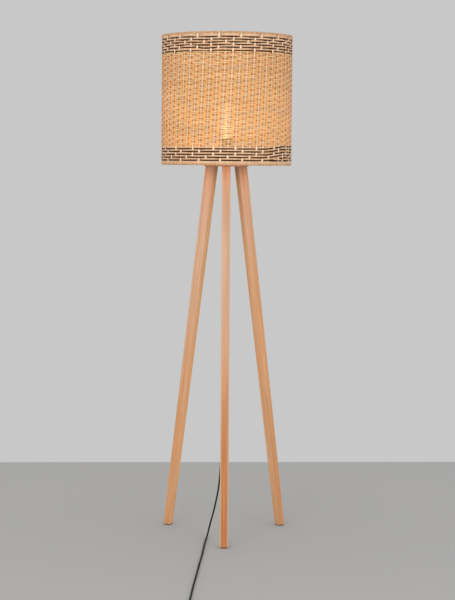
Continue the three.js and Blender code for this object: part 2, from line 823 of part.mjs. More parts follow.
// A tube of rings round the coil's points, with a straight end one diameter long on each side
function coilTube(points) {
  const lead = new THREE.Vector3(2 * cord.radius, 0, 0);
  const route = [points[0].clone().sub(lead), ...points, points[points.length - 1].clone().sub(lead)];
  const up = new THREE.Vector3(0, 0, 1);
  const rings = route.map((point, index) => {
    const before = route[Math.max(index - 1, 0)];
    const after = route[Math.min(index + 1, route.length - 1)];
    const along = after.clone().sub(before).normalize();
    const across = new THREE.Vector3().crossVectors(up, along).normalize();
    const over = new THREE.Vector3().crossVectors(along, across);
    const section = [];
    for (let side = 0; side < coil.sides; side += 1) {
      const angle = (2 * Math.PI * side) / coil.sides;
      const offset = across.clone().multiplyScalar(cord.radius * Math.cos(angle));
      section.push(point.clone().add(offset).addScaledVector(over, cord.radius * Math.sin(angle)));
    }
    return section;
  });
  return lofted(rings);
}

// A band round the bundle, opposite the half turn where the coil climbs
function coilTie() {
  const sideLoops = [];
  for (let loop = 3 / 4; loop < coil.loops; loop += 1) sideLoops.push(loop);
  const radii = sideLoops.map((loop) => coilOuter - coilPitch * Math.min(loop, coil.loops - loop));
  const clear = cord.radius + 2 * seatGap;
  const inner = Math.min(...radii) - clear;
  const outer = Math.max(...radii) + clear;
  const low = coilFloor - cord.radius - seatGap;
  const high = coilFloor + coilPitch + cord.radius + seatGap;
  const middle = (inner + outer) / 2;
  const band = (spare) => box(outer - inner + 2 * spare, tie.width, low - spare, high + spare);
  const hole = box(outer - inner, tie.width + 2 * cutOverrun, low, high);
  const mesh = addPiece("coil_tie", band(tie.thickness).subtract(hole), finishes.blackPlastic);
  mesh.position.set(coilX - middle, coilY, 0);
}

function addCord() {
  const cordHeight = inlineSwitch.split;
  const runEnd = new THREE.Vector3(inlineSwitch.x - reliefReach, inlineSwitch.y, cordHeight);
  const run = [
    new THREE.Vector3(0, 0, gripTail - seatGap),
    ...cordRunRoute.map((point) => new THREE.Vector3(...point)),
    runEnd,
  ];
  addPiece("cord_run", tubeAlong(smoothPath(run), cord.radius, cord.sides, cord.runSteps), finishes.cordSheath);

  const points = coilPoints();
  console.log(`least gap between turns of the coil: ${leastCoilGap(points).toFixed(2)} mm`);
  addPiece("cord_coil", coilTube(points), finishes.cordSheath);
  coilTie();

  const lead = 2 * cord.radius;
  const linkStart = new THREE.Vector3(inlineSwitch.x + reliefReach, inlineSwitch.y, cordHeight);
  const linkEnd = points[0].clone().sub(new THREE.Vector3(lead + seatGap, 0, 0));
  addPiece("cord_link", shortStretch(linkStart, linkEnd), finishes.cordSheath);

  const coilEnd = points[points.length - 1];
  const tailStart = coilEnd.clone().sub(new THREE.Vector3(lead + seatGap, 0, 0));
  const tailEnd = new THREE.Vector3(tailStart.x - plug.gapToCoil, coilEnd.y, plug.thickness / 2);
  addPiece("cord_tail", shortStretch(tailStart, tailEnd), finishes.cordSheath);
  return tailEnd;
}

// A stretch along X that eases from one height to another, and leaves and arrives level
function shortStretch(start, end) {
  const points = [0, 1 / 4, 1 / 2, 3 / 4, 1].map((share) => {
    const point = start.clone().lerp(end, share);
    point.z = start.z + (end.z - start.z) * THREE.MathUtils.smoothstep(share, 0, 1);
    return point;
  });
  return tubeAlong(smoothPath(points), cord.radius, cord.sides, cord.shortSteps);
}

// The switch's outline in plan, drawn in from its sides by an inset
function switchRing(inset, height) {
  const end = inlineSwitch.length / 2 - inset;
  const body = inlineSwitch.length / 2 - inlineSwitch.taper;
  const half = inlineSwitch.width / 2 - inset;
  const endHalf = inlineSwitch.endWidth / 2 - inset;
  const corners = [[end, endHalf], [body, half], [-body, half], [-end, endHalf]];
  const mirrored = corners.map(([x, y]) => [x, -y]).reverse();
  return [...corners, ...mirrored].map(([x, y]) => new THREE.Vector3(x, y, height));
}

function switchBase() {
  const { edge, split, wall } = inlineSwitch;
  const top = split - seatGap / 2;
  const block = lofted([switchRing(edge, 0), switchRing(0, edge), switchRing(0, top)]);
  return block.subtract(lofted([switchRing(wall, wall), switchRing(wall, top + cutOverrun)]));
}

// The upper shell, with a collar round the rocker's window and a pocket for each trunnion
function switchCover() {
  const { edge, split, wall, height } = inlineSwitch;
  const foot = split + seatGap / 2;
  const block = lofted([switchRing(0, foot), switchRing(0, height - edge), switchRing(edge, height)]);
  const hollow = lofted([switchRing(wall, foot - cutOverrun), switchRing(wall, height - wall)]);
  const windowLength = 2 * (rocker.reach + seatGap);
  const windowWidth = rocker.width + 2 * seatGap;
  const frameFoot = height - collar.depth;
  const frame = box(windowLength + 2 * collar.wall, windowWidth + 2 * collar.wall, frameFoot, height - wall);
  const opening = box(windowLength, windowWidth, frameFoot - cutOverrun, height + cutOverrun);
  const pivot = height - rocker.pivotDepth;
  const pocketLength = rocker.width + 2 * (trunnion.reach + seatGap);
  const pocket = crossRod(holeFor(trunnion.radius), pocketLength, pivot);
  return block.subtract(hollow).add(frame).subtract(opening).subtract(pocket);
}

// A rod along Y, centred over the origin at a height
function crossRod(radius, length, height) {
  const geometry = new THREE.CylinderGeometry(radius, radius, length, roundSides);
  geometry.translate(0, 0, height);
  return solidOf(geometry);
}

// The rocker about its own pivot: ends that are arcs about the pivot, and a top that dips in the middle
function rockerBody() {
  const right = [];
  for (let step = 0; step <= rocker.arcSteps; step += 1) {
    const angle = rocker.lowAngle + ((rocker.topAngle - rocker.lowAngle) * step) / rocker.arcSteps;
    right.push([rocker.reach * Math.cos(angle), rocker.reach * Math.sin(angle)]);
  }
  const left = right.map(([x, z]) => [-x, z]).reverse();
  const foot = [[-rocker.footHalf, -rocker.footDepth], [rocker.footHalf, -rocker.footDepth]];
  const plate = uprightPlate([...right, [0, rocker.dip], ...left, ...foot], rocker.width);
  return plate.add(crossRod(trunnion.radius, rocker.width + 2 * trunnion.reach, 0));
}

// A bent strip that stands on the switch's floor and reaches up under the rocker
function switchContactStrip() {
  const low = inlineSwitch.wall + seatGap;
  const high = low + switchContact.riser;
  const thick = switchContact.thickness;
  const half = switchContact.length / 2;
  return uprightPlate([
    [-half, low],
    [thick, low],
    [thick, high - thick],
    [switchContact.hook, high - thick],
    [switchContact.hook, high],
    [0, high],
    [0, low + thick],
    [-half, low + thick],
  ], switchContact.width);
}

// A tapered sleeve that starts at the origin and points up
function taperedSleeve(collarRadius, collarLength, tailRadius, length) {
  const outline = [
    [0, 0],
    [collarRadius, 0],
    [collarRadius, collarLength],
    [tailRadius, length],
    [0, length],
  ];
  return turned(outline, roundSides);
}

function addSwitch() {
  const group = addGroup();
  group.position.set(inlineSwitch.x, inlineSwitch.y, 0);
  addPiece("switch_base", switchBase(), finishes.blackPlastic, group);
  addPiece("switch_cover", switchCover(), finishes.blackPlastic, group);
  addPiece("switch_contact", switchContactStrip(), finishes.brass, group);
  const key = addPiece("switch_rocker", rockerBody(), finishes.blackPlastic, group);
  key.position.z = inlineSwitch.height - rocker.pivotDepth;
  key.rotation.y = rocker.tilt;
  for (const [name, side] of [["switch_relief_in", -1], ["switch_relief_out", 1]]) {
    const sleeve = taperedSleeve(relief.collarRadius, relief.collarLength, relief.tailRadius, relief.length);
    const mesh = addPiece(name, sleeve, finishes.blackPlastic, group);
    mesh.position.set(side * (inlineSwitch.length / 2 + seatGap), 0, inlineSwitch.split);
    mesh.rotation.y = (side * Math.PI) / 2;
  }
}

// The plug's outline in plan, from its throat at the origin to its face at -X
function plugRing(inset, height) {
  const half = plug.width / 2 - inset;
  const throat = plug.throat / 2 - inset;
  const corners = [[-inset, -throat], [-plug.shoulder, -half], [-plug.length + inset, -half]];
  const mirrored = corners.map(([x, y]) => [x, -y]).reverse();
  return [...corners, ...mirrored].reverse().map(([x, y]) => new THREE.Vector3(x, y, height));
}

function plugBody() {
  const { edge, thickness } = plug;
  const block = lofted([
    plugRing(edge, 0),
    plugRing(0, edge),
    plugRing(0, thickness - edge),
    plugRing(edge, thickness),
  ]);
  const tail = new THREE.LatheGeometry([
    new THREE.Vector2(0, -plug.edge),
    new THREE.Vector2(plugTail.radius, -plug.edge),
    new THREE.Vector2(plugTail.radius, 0),
    new THREE.Vector2(plugTail.endRadius, plugTail.length),
    new THREE.Vector2(0, plugTail.length),
  ], roundSides);
  tail.rotateZ(-Math.PI / 2);
  tail.translate(0, 0, thickness / 2);
  return block.add(solidOf(tail));
}

function plugPin() {
  const outline = [
    [0, 0],
    [pin.radius, 0],
    [pin.radius, pin.length - pin.tip],
    [pin.radius - pin.tip, pin.length],
    [0, pin.length],
  ];
  return turned(outline, roundSides);
}

function addPlug(cordEnd) {
  const group = addGroup();
  group.position.set(cordEnd.x - seatGap - plugTail.length, cordEnd.y, 0);
  addPiece("plug_body", plugBody(), finishes.blackPlastic, group);
  for (const [name, side] of [["plug_pin_left", -1], ["plug_pin_right", 1]]) {
    const mesh = addPiece(name, plugPin(), finishes.brass, group);
    mesh.position.set(-plug.length - seatGap, side * pin.spread, plug.thickness / 2);
    mesh.rotation.y = -Math.PI / 2;
  }
}

// The front foot reaches further forward than the rim reaches back
function moveToMiddle() {
  const footReach = legCircleAt(legFoot) + legDepthAt(legFoot) / 2;
  const rimReach = wallMiddle + channelOuter;
  lamp.position.y = (footReach - rimReach) / 2;
  console.log(`the lamp's axis is at Y = ${lamp.position.y.toFixed(3)} mm`);
}

addStand();
addFittings();
addHolder();
addBulb();
addShade();
addSwitch();
addPlug(addCord());
moveToMiddle();

export default lamp;
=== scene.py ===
"""Rattan floor lamp: a woven drum shade with two dark bands on a stand of three square beech legs.

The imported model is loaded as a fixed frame. The classes below build the lamp's sub-assemblies round it and dress
them. Lengths are in metres. Sizes that the frame holds are read from it, and the rest are the fields of each class.
"""

from __future__ import annotations

import logging
import math
import random
from collections.abc import Callable, Iterator, Sequence
from contextlib import contextmanager
from dataclasses import dataclass, field
from enum import Enum
from functools import cache

import bmesh
import bpy
import numpy as np
from mathutils import Matrix, Vector


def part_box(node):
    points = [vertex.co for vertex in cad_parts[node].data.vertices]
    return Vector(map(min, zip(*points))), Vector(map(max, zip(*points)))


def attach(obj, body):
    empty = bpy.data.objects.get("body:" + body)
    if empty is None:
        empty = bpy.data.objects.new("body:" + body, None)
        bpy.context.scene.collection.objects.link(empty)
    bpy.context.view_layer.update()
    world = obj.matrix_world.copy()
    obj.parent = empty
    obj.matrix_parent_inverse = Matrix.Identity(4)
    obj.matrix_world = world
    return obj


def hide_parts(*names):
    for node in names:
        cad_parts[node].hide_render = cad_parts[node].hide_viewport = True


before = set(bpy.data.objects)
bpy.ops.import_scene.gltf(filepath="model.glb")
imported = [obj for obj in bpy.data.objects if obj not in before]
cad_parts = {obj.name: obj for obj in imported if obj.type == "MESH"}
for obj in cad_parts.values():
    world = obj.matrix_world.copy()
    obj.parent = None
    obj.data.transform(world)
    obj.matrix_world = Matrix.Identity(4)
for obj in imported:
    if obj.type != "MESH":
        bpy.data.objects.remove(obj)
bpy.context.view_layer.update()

log = logging.getLogger("floor_lamp")

MM = 0.001
TURN = 2 * math.pi
SAME_LEVEL = 1e-5
LEVEL_CAP = 1e-6
LAMP_BODY = "lamp"
BULB_BODY = "bulb"

Colour = tuple[float, float, float]
Outline = Sequence[tuple[float, float]]
Socket = bpy.types.NodeSocket
Inputs = dict[str | int, object]
Look = tuple[bpy.types.Material, str]

BLACK: Colour = (0.0, 0.0, 0.0)


def centre_of(node: str) -> Vector:
    """Returns the middle of a frame node's box."""
    low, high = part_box(node)
    return (low + high) / 2


AXIS = Vector((0.0, centre_of("holder_shell").y, 0.0))


def round_axis(turn: float) -> Matrix:
    """Returns the move that turns a piece modelled about the origin and stands it on the lamp's axis."""
    return Matrix.Translation(AXIS) @ Matrix.Rotation(turn, 4, "Z")


def outer_radius(node: str) -> float:
    """Returns the outer radius of a round frame node."""
    low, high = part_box(node)
    return (high.x - low.x) / 2


# Modelling by hand: selection, operators and modifiers


def deselect_all() -> None:
    """Leaves no object selected."""
    bpy.ops.object.select_all(action="DESELECT")


def pick(piece: bpy.types.Object) -> None:
    """Makes one object the only selected one, and the active one."""
    deselect_all()
    piece.select_set(True)
    bpy.context.view_layer.objects.active = piece


@contextmanager
def editing(piece: bpy.types.Object) -> Iterator[None]:
    """Holds an object in edit mode."""
    pick(piece)
    bpy.ops.object.mode_set(mode="EDIT")
    yield
    bpy.ops.object.mode_set(mode="OBJECT")


def newest(name: str) -> bpy.types.Object:
    """Names the object that an operator has just added, and its mesh, and returns it."""
    piece = bpy.context.object
    piece.name = name
    piece.data.name = name
    return piece


def link(name: str, data: bpy.types.ID) -> bpy.types.Object:
    """Adds an object with its data to the scene and returns it."""
    piece = bpy.data.objects.new(name, data)
    bpy.context.scene.collection.objects.link(piece)
    return piece


def choose(piece: bpy.types.Object, mode: str, test: Callable[[Vector, Vector], bool]) -> None:
    """Selects the edges or faces of the object in edit mode that pass a test.

    Args:
        piece: The object in edit mode.
        mode: EDGE or FACE.
        test: Takes a place in the mesh's own space, and a face's normal or an edge's direction.
    """
    bpy.ops.mesh.select_all(action="DESELECT")
    bpy.ops.mesh.select_mode(type=mode)
    mesh = bmesh.from_edit_mesh(piece.data)
    if mode == "FACE":
        for face in mesh.faces:
            face.select_set(test(face.calc_center_median(), face.normal))
    else:
        for edge in mesh.edges:
            start, end = (vertex.co for vertex in edge.verts)
            edge.select_set(test((start + end) / 2, (end - start).normalized()))
    bmesh.update_edit_mesh(piece.data)


def face_outwards() -> None:
    """Points every normal of the object in edit mode outwards."""
    bpy.ops.mesh.select_all(action="SELECT")
    bpy.ops.mesh.normals_make_consistent(inside=False)


def apply_modifier(piece: bpy.types.Object, kind: str, **settings: object) -> None:
    """Adds a modifier to an object and applies it at once.

    Args:
        piece: The object.
        kind: The modifier's type, such as BEVEL.
        **settings: Its properties.
    """
    pick(piece)
    modifier = piece.modifiers.new(kind.title(), kind)
    for key, value in settings.items():
        setattr(modifier, key, value)
    bpy.ops.object.modifier_apply(modifier=modifier.name)


def soften(piece: bpy.types.Object, width: float, segments: int = 2, angle: float = 35.0) -> None:
    """Rounds an object's sharp edges.

    Args:
        piece: The object.
        width: The rounding's width.
        segments: Its steps.
        angle: The least angle between faces that is rounded, in degrees.
    """
    apply_modifier(piece, "BEVEL", width=width, segments=segments, limit_method="ANGLE",
                   angle_limit=math.radians(angle))


def smooth(piece: bpy.types.Object, angle: float = 35.0) -> None:
    """Shades an object smooth, but for its sharp edges.

    Args:
        piece: The object.
        angle: The least angle that stays sharp, in degrees.
    """
    pick(piece)
    bpy.ops.object.shade_smooth_by_angle(angle=math.radians(angle))


def settle(piece: bpy.types.Object) -> None:
    """Moves an object's place, turn and scale into its mesh."""
    pick(piece)
    bpy.ops.object.transform_apply(location=True, rotation=True, scale=True)


def stand_at(piece: bpy.types.Object, move: Matrix) -> None:
    """Moves a piece that was modelled about the origin and settles it."""
    piece.matrix_world = move
    settle(piece)


def cut_away(piece: bpy.types.Object, cutter: bpy.types.Object) -> None:
    """Cuts one object's volume out of another and deletes the cutter."""
    apply_modifier(piece, "BOOLEAN", operation="DIFFERENCE", object=cutter, solver="EXACT")
    bpy.data.objects.remove(cutter)


def join(pieces: Sequence[bpy.types.Object], name: str) -> bpy.types.Object:
    """Joins objects into one mesh, under a name of its own, and returns it."""
    deselect_all()
    for piece in pieces:
        piece.select_set(True)
    bpy.context.view_layer.objects.active = pieces[0]
    bpy.ops.object.join()
    return newest(name)


def copy_of(piece: bpy.types.Object) -> bpy.types.Object:
    """Returns a copy of an object with its own mesh."""
    return link(piece.name, piece.data.copy())


def rod(name: str, radius: float, start: Vector, end: Vector, sides: int = 24) -> bpy.types.Object:
    """Adds a round bar between two points.

    Args:
        name: Its name.
        radius: Its radius.
        start: The middle of one end.
        end: The middle of the other end.
        sides: Its facets.

    Returns:
        The object, settled.
    """
    deselect_all()
    along = end - start
    bpy.ops.mesh.primitive_cylinder_add(
        vertices=sides, radius=radius, depth=along.length, location=(start + end) / 2,
        rotation=along.to_track_quat("Z", "Y").to_euler())
    piece = newest(name)
    settle(piece)
    return piece


def turned(name: str, outline: Outline, sides: int = 64, centre: Vector = AXIS) -> bpy.types.Object:
    """Turns an outline about an upright line, ring by ring.

    A first or last point on the axis closes that end: level with its neighbour as a flat cap, or else as a tip. An
    outline that ends where it starts makes a ring with a hole through it.

    Args:
        name: The piece's name.
        outline: Points of radius and height, in order.
        sides: The facets round the axis.
        centre: A point on the axis.

    Returns:
        The object, settled, its faces pointing out.
    """
    points = [point for point in outline if point[0] > 0]
    tips = [point for point in (outline[0], outline[-1]) if point[0] == 0]
    radius, height = points[0]
    deselect_all()
    bpy.ops.mesh.primitive_circle_add(
        vertices=sides, radius=radius, fill_type="NOTHING", location=(centre.x, centre.y, height))
    piece = newest(name)
    settle(piece)
    with editing(piece):
        bpy.ops.mesh.select_mode(type="VERT")
        bpy.ops.mesh.select_all(action="SELECT")
        for next_radius, next_height in points[1:]:
            bpy.ops.mesh.extrude_region_move(TRANSFORM_OT_translate={"value": (0, 0, next_height - height)})
            share = next_radius / radius
            bpy.ops.transform.resize(value=(share, share, 1), center_override=(centre.x, centre.y, next_height))
            radius, height = next_radius, next_height
        bpy.ops.mesh.select_all(action="SELECT")
        bpy.ops.mesh.remove_doubles(threshold=SAME_LEVEL)
        if tips or outline[0] != outline[-1]:
            bpy.ops.mesh.select_all(action="DESELECT")
            bpy.ops.mesh.select_mode(type="EDGE")
            bpy.ops.mesh.select_non_manifold()
            bpy.ops.mesh.edge_face_add()
        face_outwards()
    for _, tip_height in tips:
        raise_cap(piece, centre, tip_height)
    return piece


def raise_cap(piece: bpy.types.Object, centre: Vector, height: float) -> None:
    """Pokes the flat cap nearest to a height and lifts its new middle point there.

    Args:
        piece: A turned object.
        centre: A point on its axis.
        height: The height of the tip, which leaves a level cap as it is.
    """
    with editing(piece):
        bpy.ops.mesh.select_mode(type="FACE")
        mesh = bmesh.from_edit_mesh(piece.data)
        caps = [face for face in mesh.faces if len(face.verts) > 4]
        caps.sort(key=lambda face: abs(face.calc_center_median().z - height))
        if caps and abs(caps[0].calc_center_median().z - height) > LEVEL_CAP:
            result = bmesh.ops.poke(mesh, faces=caps[:1])
            for vertex in result["verts"]:
                vertex.co = (centre.x, centre.y, height)
            bmesh.update_edit_mesh(piece.data)


def open_end(piece: bpy.types.Object, height: float) -> None:
    """Deletes a turned piece's level cap at a height."""
    with editing(piece):
        choose(piece, "FACE", lambda place, normal: abs(normal.z) > 0.99 and abs(place.z - height) < SAME_LEVEL)
        bpy.ops.mesh.delete(type="FACE")


def plate(name: str, outline: Outline, low: float, high: float) -> bpy.types.Object:
    """Extrudes an outline upwards.

    Args:
        name: The piece's name.
        outline: Points of X and Y, in order.
        low: The height of its foot.
        high: The height of its top.

    Returns:
        The object, with its faces pointing out.
    """
    deselect_all()
    bpy.ops.mesh.primitive_circle_add(vertices=len(outline), radius=1, fill_type="NGON")
    piece = newest(name)
    for vertex, (x, y) in zip(piece.data.vertices, outline):
        vertex.co = (x, y, low)
    with editing(piece):
        bpy.ops.mesh.select_all(action="SELECT")
        bpy.ops.mesh.extrude_region_move(TRANSFORM_OT_translate={"value": (0, 0, high - low)})
        face_outwards()
    return piece


def knurl(piece: bpy.types.Object, count: int, depth: float, margin: float) -> None:
    """Sinks every other outer face of a piece turned about the lamp's axis, for the fingers.

    Args:
        piece: A turned piece.
        count: Its facets.
        depth: How far the faces sink.
        margin: The rim left round each of them.
    """
    outer = max(math.hypot(vertex.co.x - AXIS.x, vertex.co.y - AXIS.y) for vertex in piece.data.vertices)

    def grips(place: Vector, normal: Vector) -> bool:
        reach = math.hypot(place.x - AXIS.x, place.y - AXIS.y)
        step = round((math.atan2(place.y - AXIS.y, place.x - AXIS.x) / TURN) * count - 0.5)
        return abs(normal.z) < 0.05 and reach > outer * 0.985 and step % 2 == 0

    with editing(piece):
        choose(piece, "FACE", grips)
        bpy.ops.mesh.inset(thickness=margin, depth=-depth, use_individual=True)


def ring_outline(bore: float, outer: float, low: float, high: float, edge: float = 0.0) -> Outline:
    """Returns the outline of a flat ring.

    Args:
        bore: The radius of its hole.
        outer: Its outer radius.
        low: The height of its foot.
        high: The height of its top.
        edge: The width of the slope along its outer edges.
    """
    side = [(outer, low), (outer, high)]
    if edge:
        side = [(outer - edge, low), (outer, low + edge), (outer, high - edge), (outer - edge, high)]
    return [(bore, low), *side, (bore, high), (bore, low)]


def rib_outline(radii: Sequence[float], foot: float, rise: float) -> Outline:
    """Returns the outline of ribs and grooves, one above the other, each with its own radius."""
    return [(radius, foot + rise * (step + end)) for step, radius in enumerate(radii) for end in (0, 0.85)]


def dress(piece: bpy.types.Object, look: Look, *nodes: str, body: str = LAMP_BODY) -> None:
    """Gives a finished piece its material and its body, and hides the frame's nodes that it stands for.

    Args:
        piece: The finished object.
        look: Its material and the name of a material slot.
        *nodes: The frame's nodes that it replaces.
        body: The body that it rides on.
    """
    material, slot = look
    piece.data.materials.clear()
    piece.data.materials.append(material)
    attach(piece, body)
    if nodes:
        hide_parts(*nodes)
    log.info("%s: stands for %s", piece.name, ", ".join(nodes) or "no node")


def dress_nodes(look: Look, *nodes: str) -> None:
    """Gives frame nodes that stay their finish."""
    for node in nodes:
        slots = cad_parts[node].data.materials
        slots.clear()
        slots.append(look[0])
        log.info("%s: the frame's own piece", node)


# Node materials: shared effects as groups, and one class for each finish


@dataclass(frozen=True)
class Graph:
    """A node tree, with short ways to add to it."""

    tree: bpy.types.NodeTree

    def feed(self, node: bpy.types.Node, inputs: Inputs) -> None:
        """Gives a node's inputs their values or sockets, by name or number."""
        for key, value in inputs.items():
            socket = node.inputs[key]
            if isinstance(value, Socket):
                self.tree.links.new(value, socket)
            else:
                socket.default_value = (*value, 1.0) if socket.type == "RGBA" else value

    def node(self, kind: str, inputs: Inputs | None = None, **settings: object) -> bpy.types.Node:
        """Adds a node.

        Args:
            kind: Its type, without the ShaderNode in front.
            inputs: Values or sockets for its inputs, by name or number.
            **settings: Its properties.

        Returns:
            The node.
        """
        node = self.tree.nodes.new(f"ShaderNode{kind}")
        for key, value in settings.items():
            setattr(node, key, value)
        self.feed(node, inputs or {})
        return node

    def math(self, operation: str, *values: object) -> Socket:
        """Adds a Math node and returns its output."""
        return self.node("Math", dict(enumerate(values)), operation=operation).outputs[0]

    def plus(self, first: object, second: object) -> Socket:
        """Returns the sum of two values."""
        return self.math("ADD", first, second)

    def minus(self, first: object, second: object) -> Socket:
        """Returns the first value less the second."""
        return self.math("SUBTRACT", first, second)

    def times(self, first: object, second: object) -> Socket:
        """Returns the product of two values."""
        return self.math("MULTIPLY", first, second)

    def inverse(self, value: Socket) -> Socket:
        """Returns what a value is short of 1."""
        return self.minus(1.0, value)

    def distance(self, value: Socket, other: float) -> Socket:
        """Returns how far a value is from another."""
        return self.math("ABSOLUTE", self.minus(value, other))

    def to_whole(self, value: Socket) -> Socket:
        """Returns how far a value is from the nearest whole number."""
        return self.distance(self.math("FRACT", self.plus(value, 0.5)), 0.5)

    def ramp(self, value: Socket, low: float, high: float) -> Socket:
        """Adds a smooth Map Range from 0 at low to 1 at high and returns its output."""
        return self.node("MapRange", {"Value": value, "From Min": low, "From Max": high},
                         interpolation_type="SMOOTHSTEP").outputs["Result"]

    def stretch(self, place: Socket, scale: Colour) -> Socket:
        """Returns a place multiplied by a scale along each axis."""
        return self.node("Mapping", {"Vector": place, "Scale": scale}).outputs[0]

    def noise(self, place: Socket, scale: float = 1.0, detail: float = 2.0, rough: float = 0.5) -> Socket:
        """Adds a Noise texture.

        Args:
            place: The place.
            scale: The number of waves in a unit of it.
            detail: The noise's detail.
            rough: How strong its finer waves are.

        Returns:
            The noise's value, about 0.5.
        """
        return self.node("TexNoise", {"Vector": place, "Scale": scale, "Detail": detail, "Roughness": rough}).outputs[0]

    def mix(self, share: object, first: object, second: object, blend: str = "MIX") -> Socket:
        """Adds a colour Mix node.

        Args:
            share: The share of the second colour.
            first: The first colour or its socket.
            second: The second colour or its socket.
            blend: The way of mixing.

        Returns:
            The mixed colour.
        """
        return self.node("Mix", {0: share, 6: first, 7: second}, data_type="RGBA", blend_type=blend).outputs[2]

    def place(self) -> Socket:
        """Returns the Object coordinates."""
        return self.node("TexCoord").outputs["Object"]

    def attribute(self, name: str) -> Socket:
        """Returns a vector that the mesh stores at its points."""
        return self.node("Attribute", attribute_name=name).outputs["Vector"]

    def split(self, vector: Socket) -> Sequence[Socket]:
        """Returns a vector's three parts."""
        return self.node("SeparateXYZ", {0: vector}).outputs

    def combine(self, *parts: object) -> Socket:
        """Returns the vector of three parts."""
        return self.node("CombineXYZ", dict(enumerate(parts))).outputs[0]


def new_group(name: str, takes: dict[str, str], gives: dict[str, str]) -> Graph:
    """Makes an empty shader group.

    Args:
        name: The group's name.
        takes: Its inputs and their types.
        gives: Its outputs and their types.

    Returns:
        The group, with its input and output nodes in it.
    """
    tree = bpy.data.node_groups.new(name, "ShaderNodeTree")
    for side, sockets in (("INPUT", takes), ("OUTPUT", gives)):
        for key, kind in sockets.items():
            tree.interface.new_socket(name=key, in_out=side, socket_type=f"NodeSocket{kind}")
    tree.nodes.new("NodeGroupInput").name = "In"
    tree.nodes.new("NodeGroupOutput").name = "Out"
    return Graph(tree)


@cache
def timber_group() -> bpy.types.NodeTree:
    """Makes the grain that the legs, the disc and the cane share: fibres, streaks, slow figure and short flecks.

    Returns:
        A group that takes a place whose Z runs along the grain.
    """
    graph = new_group(
        "Grain",
        {"Place": "Vector", "Pale": "Color", "Deep": "Color", "Fibre": "Float", "Length": "Float",
         "Figure": "Float", "Fleck": "Float"},
        {"Colour": "Color", "Height": "Float", "Sheen": "Float"})
    made = graph.tree.nodes["In"].outputs
    place = made["Place"]
    across = graph.combine(made["Fibre"], made["Fibre"], made["Length"])
    fibres = graph.node("VectorMath", {0: place, 1: across}, operation="MULTIPLY").outputs[0]
    fibre = graph.noise(fibres, detail=3.0, rough=0.6)
    figure = graph.noise(graph.stretch(place, (38.0, 38.0, 2.2)), detail=3.0)
    streak = graph.noise(graph.stretch(place, (160.0, 160.0, 3.5)))
    cells = {"Vector": graph.stretch(place, (1500.0, 1500.0, 190.0)), "Scale": 1.0}
    fleck = graph.node("TexVoronoi", cells, feature="F1").outputs["Distance"]
    fine = graph.plus(graph.times(fibre, 0.4), graph.times(streak, 0.3))
    tone = graph.plus(fine, graph.times(figure, made["Figure"]))
    plain = graph.mix(graph.ramp(tone, 0.36, 0.78), made["Pale"], made["Deep"])
    flecks = graph.times(graph.inverse(graph.ramp(fleck, 0.12, 0.34)), made["Fleck"])
    flecked = graph.mix(flecks, plain, (0.55, 0.5, 0.45), "MULTIPLY")
    graph.feed(graph.tree.nodes["Out"], {"Colour": flecked, "Height": fibre, "Sheen": figure})
    return graph.tree


@cache
def mottle_group() -> bpy.types.NodeTree:
    """Makes the fine unevenness that moulded plastic, metal and enamel share.

    Returns:
        A group that gives a soft tone, a fine height and a roughness that varies.
    """
    graph = new_group("Mottle", {"Place": "Vector", "Grain": "Float", "Rough": "Float"},
                      {"Tone": "Float", "Height": "Float", "Roughness": "Float"})
    made = graph.tree.nodes["In"].outputs
    fine = graph.noise(made["Place"], made["Grain"])
    slow = graph.noise(graph.stretch(made["Place"], (45.0, 45.0, 45.0)), detail=3.0)
    rough = graph.plus(made["Rough"], graph.times(graph.minus(slow, 0.5), 0.25))
    graph.feed(graph.tree.nodes["Out"], {"Tone": slow, "Height": fine, "Roughness": rough})
    return graph.tree


@dataclass(frozen=True)
class Finish:
    """A finish: the shader's plain values, which the finer kinds build on."""

    name: str
    pale: Colour
    deep: Colour = BLACK
    rough: float = 0.5
    metallic: float = 0.0
    gloss: float = 0.5
    bump: float = 0.1
    glow: Colour = BLACK
    glow_strength: float = 0.0

    def bench(self) -> tuple[bpy.types.Material, Graph, bpy.types.Node]:
        """Makes a material of the plain values.

        Returns:
            The material, its graph and its Principled shader.
        """
        material = bpy.data.materials.new(self.name)
        material.use_nodes = True
        graph = Graph(material.node_tree)
        shader = graph.tree.nodes["Principled BSDF"]
        graph.feed(shader, {"Base Color": self.pale, "Roughness": self.rough, "Metallic": self.metallic,
                            "Specular IOR Level": self.gloss})
        return material, graph, shader

    def make(self) -> bpy.types.Material:
        """Returns the material."""
        raise NotImplementedError

    def look(self, slot: str) -> Look:
        """Returns the material with the name of the slot that it is for."""
        return self.make(), slot

    def grained(self, graph: Graph, place: Socket, **amounts: float) -> Sequence[Socket]:
        """Adds the shared grain in the finish's two tones.

        Args:
            graph: The material's graph.
            place: A place whose Z runs along the grain.
            **amounts: The group's other inputs.

        Returns:
            The group's outputs.
        """
        inputs = {"Place": place, "Pale": self.pale, "Deep": self.deep, **amounts}
        return graph.node("Group", inputs, node_tree=timber_group()).outputs

    def add_bump(self, graph: Graph, shader: bpy.types.Node, height: Socket, distance: float) -> None:
        """Adds a Bump node to the shader's normal.

        Args:
            graph: The material's graph.
            shader: Its shader.
            height: The height, from 0 to 1.
            distance: The height of a full step.
        """
        bump = graph.node("Bump", {"Height": height, "Strength": self.bump, "Distance": distance})
        graph.feed(shader, {"Normal": bump.outputs[0]})

    def light_up(self, graph: Graph, material: bpy.types.Material, shader: bpy.types.Node, share: Socket,
                 unlit: Colour = BLACK) -> None:
        """Makes the surface glow without its being sampled as a light.

        Args:
            graph: The material's graph.
            material: The material.
            shader: Its shader.
            share: The share of the full glow, from 0 to 1.
            unlit: The glow's colour where that share is 0.
        """
        graph.feed(shader, {"Emission Color": graph.mix(share, unlit, self.glow),
                            "Emission Strength": self.glow_strength})
        material.cycles.emission_sampling = "NONE"


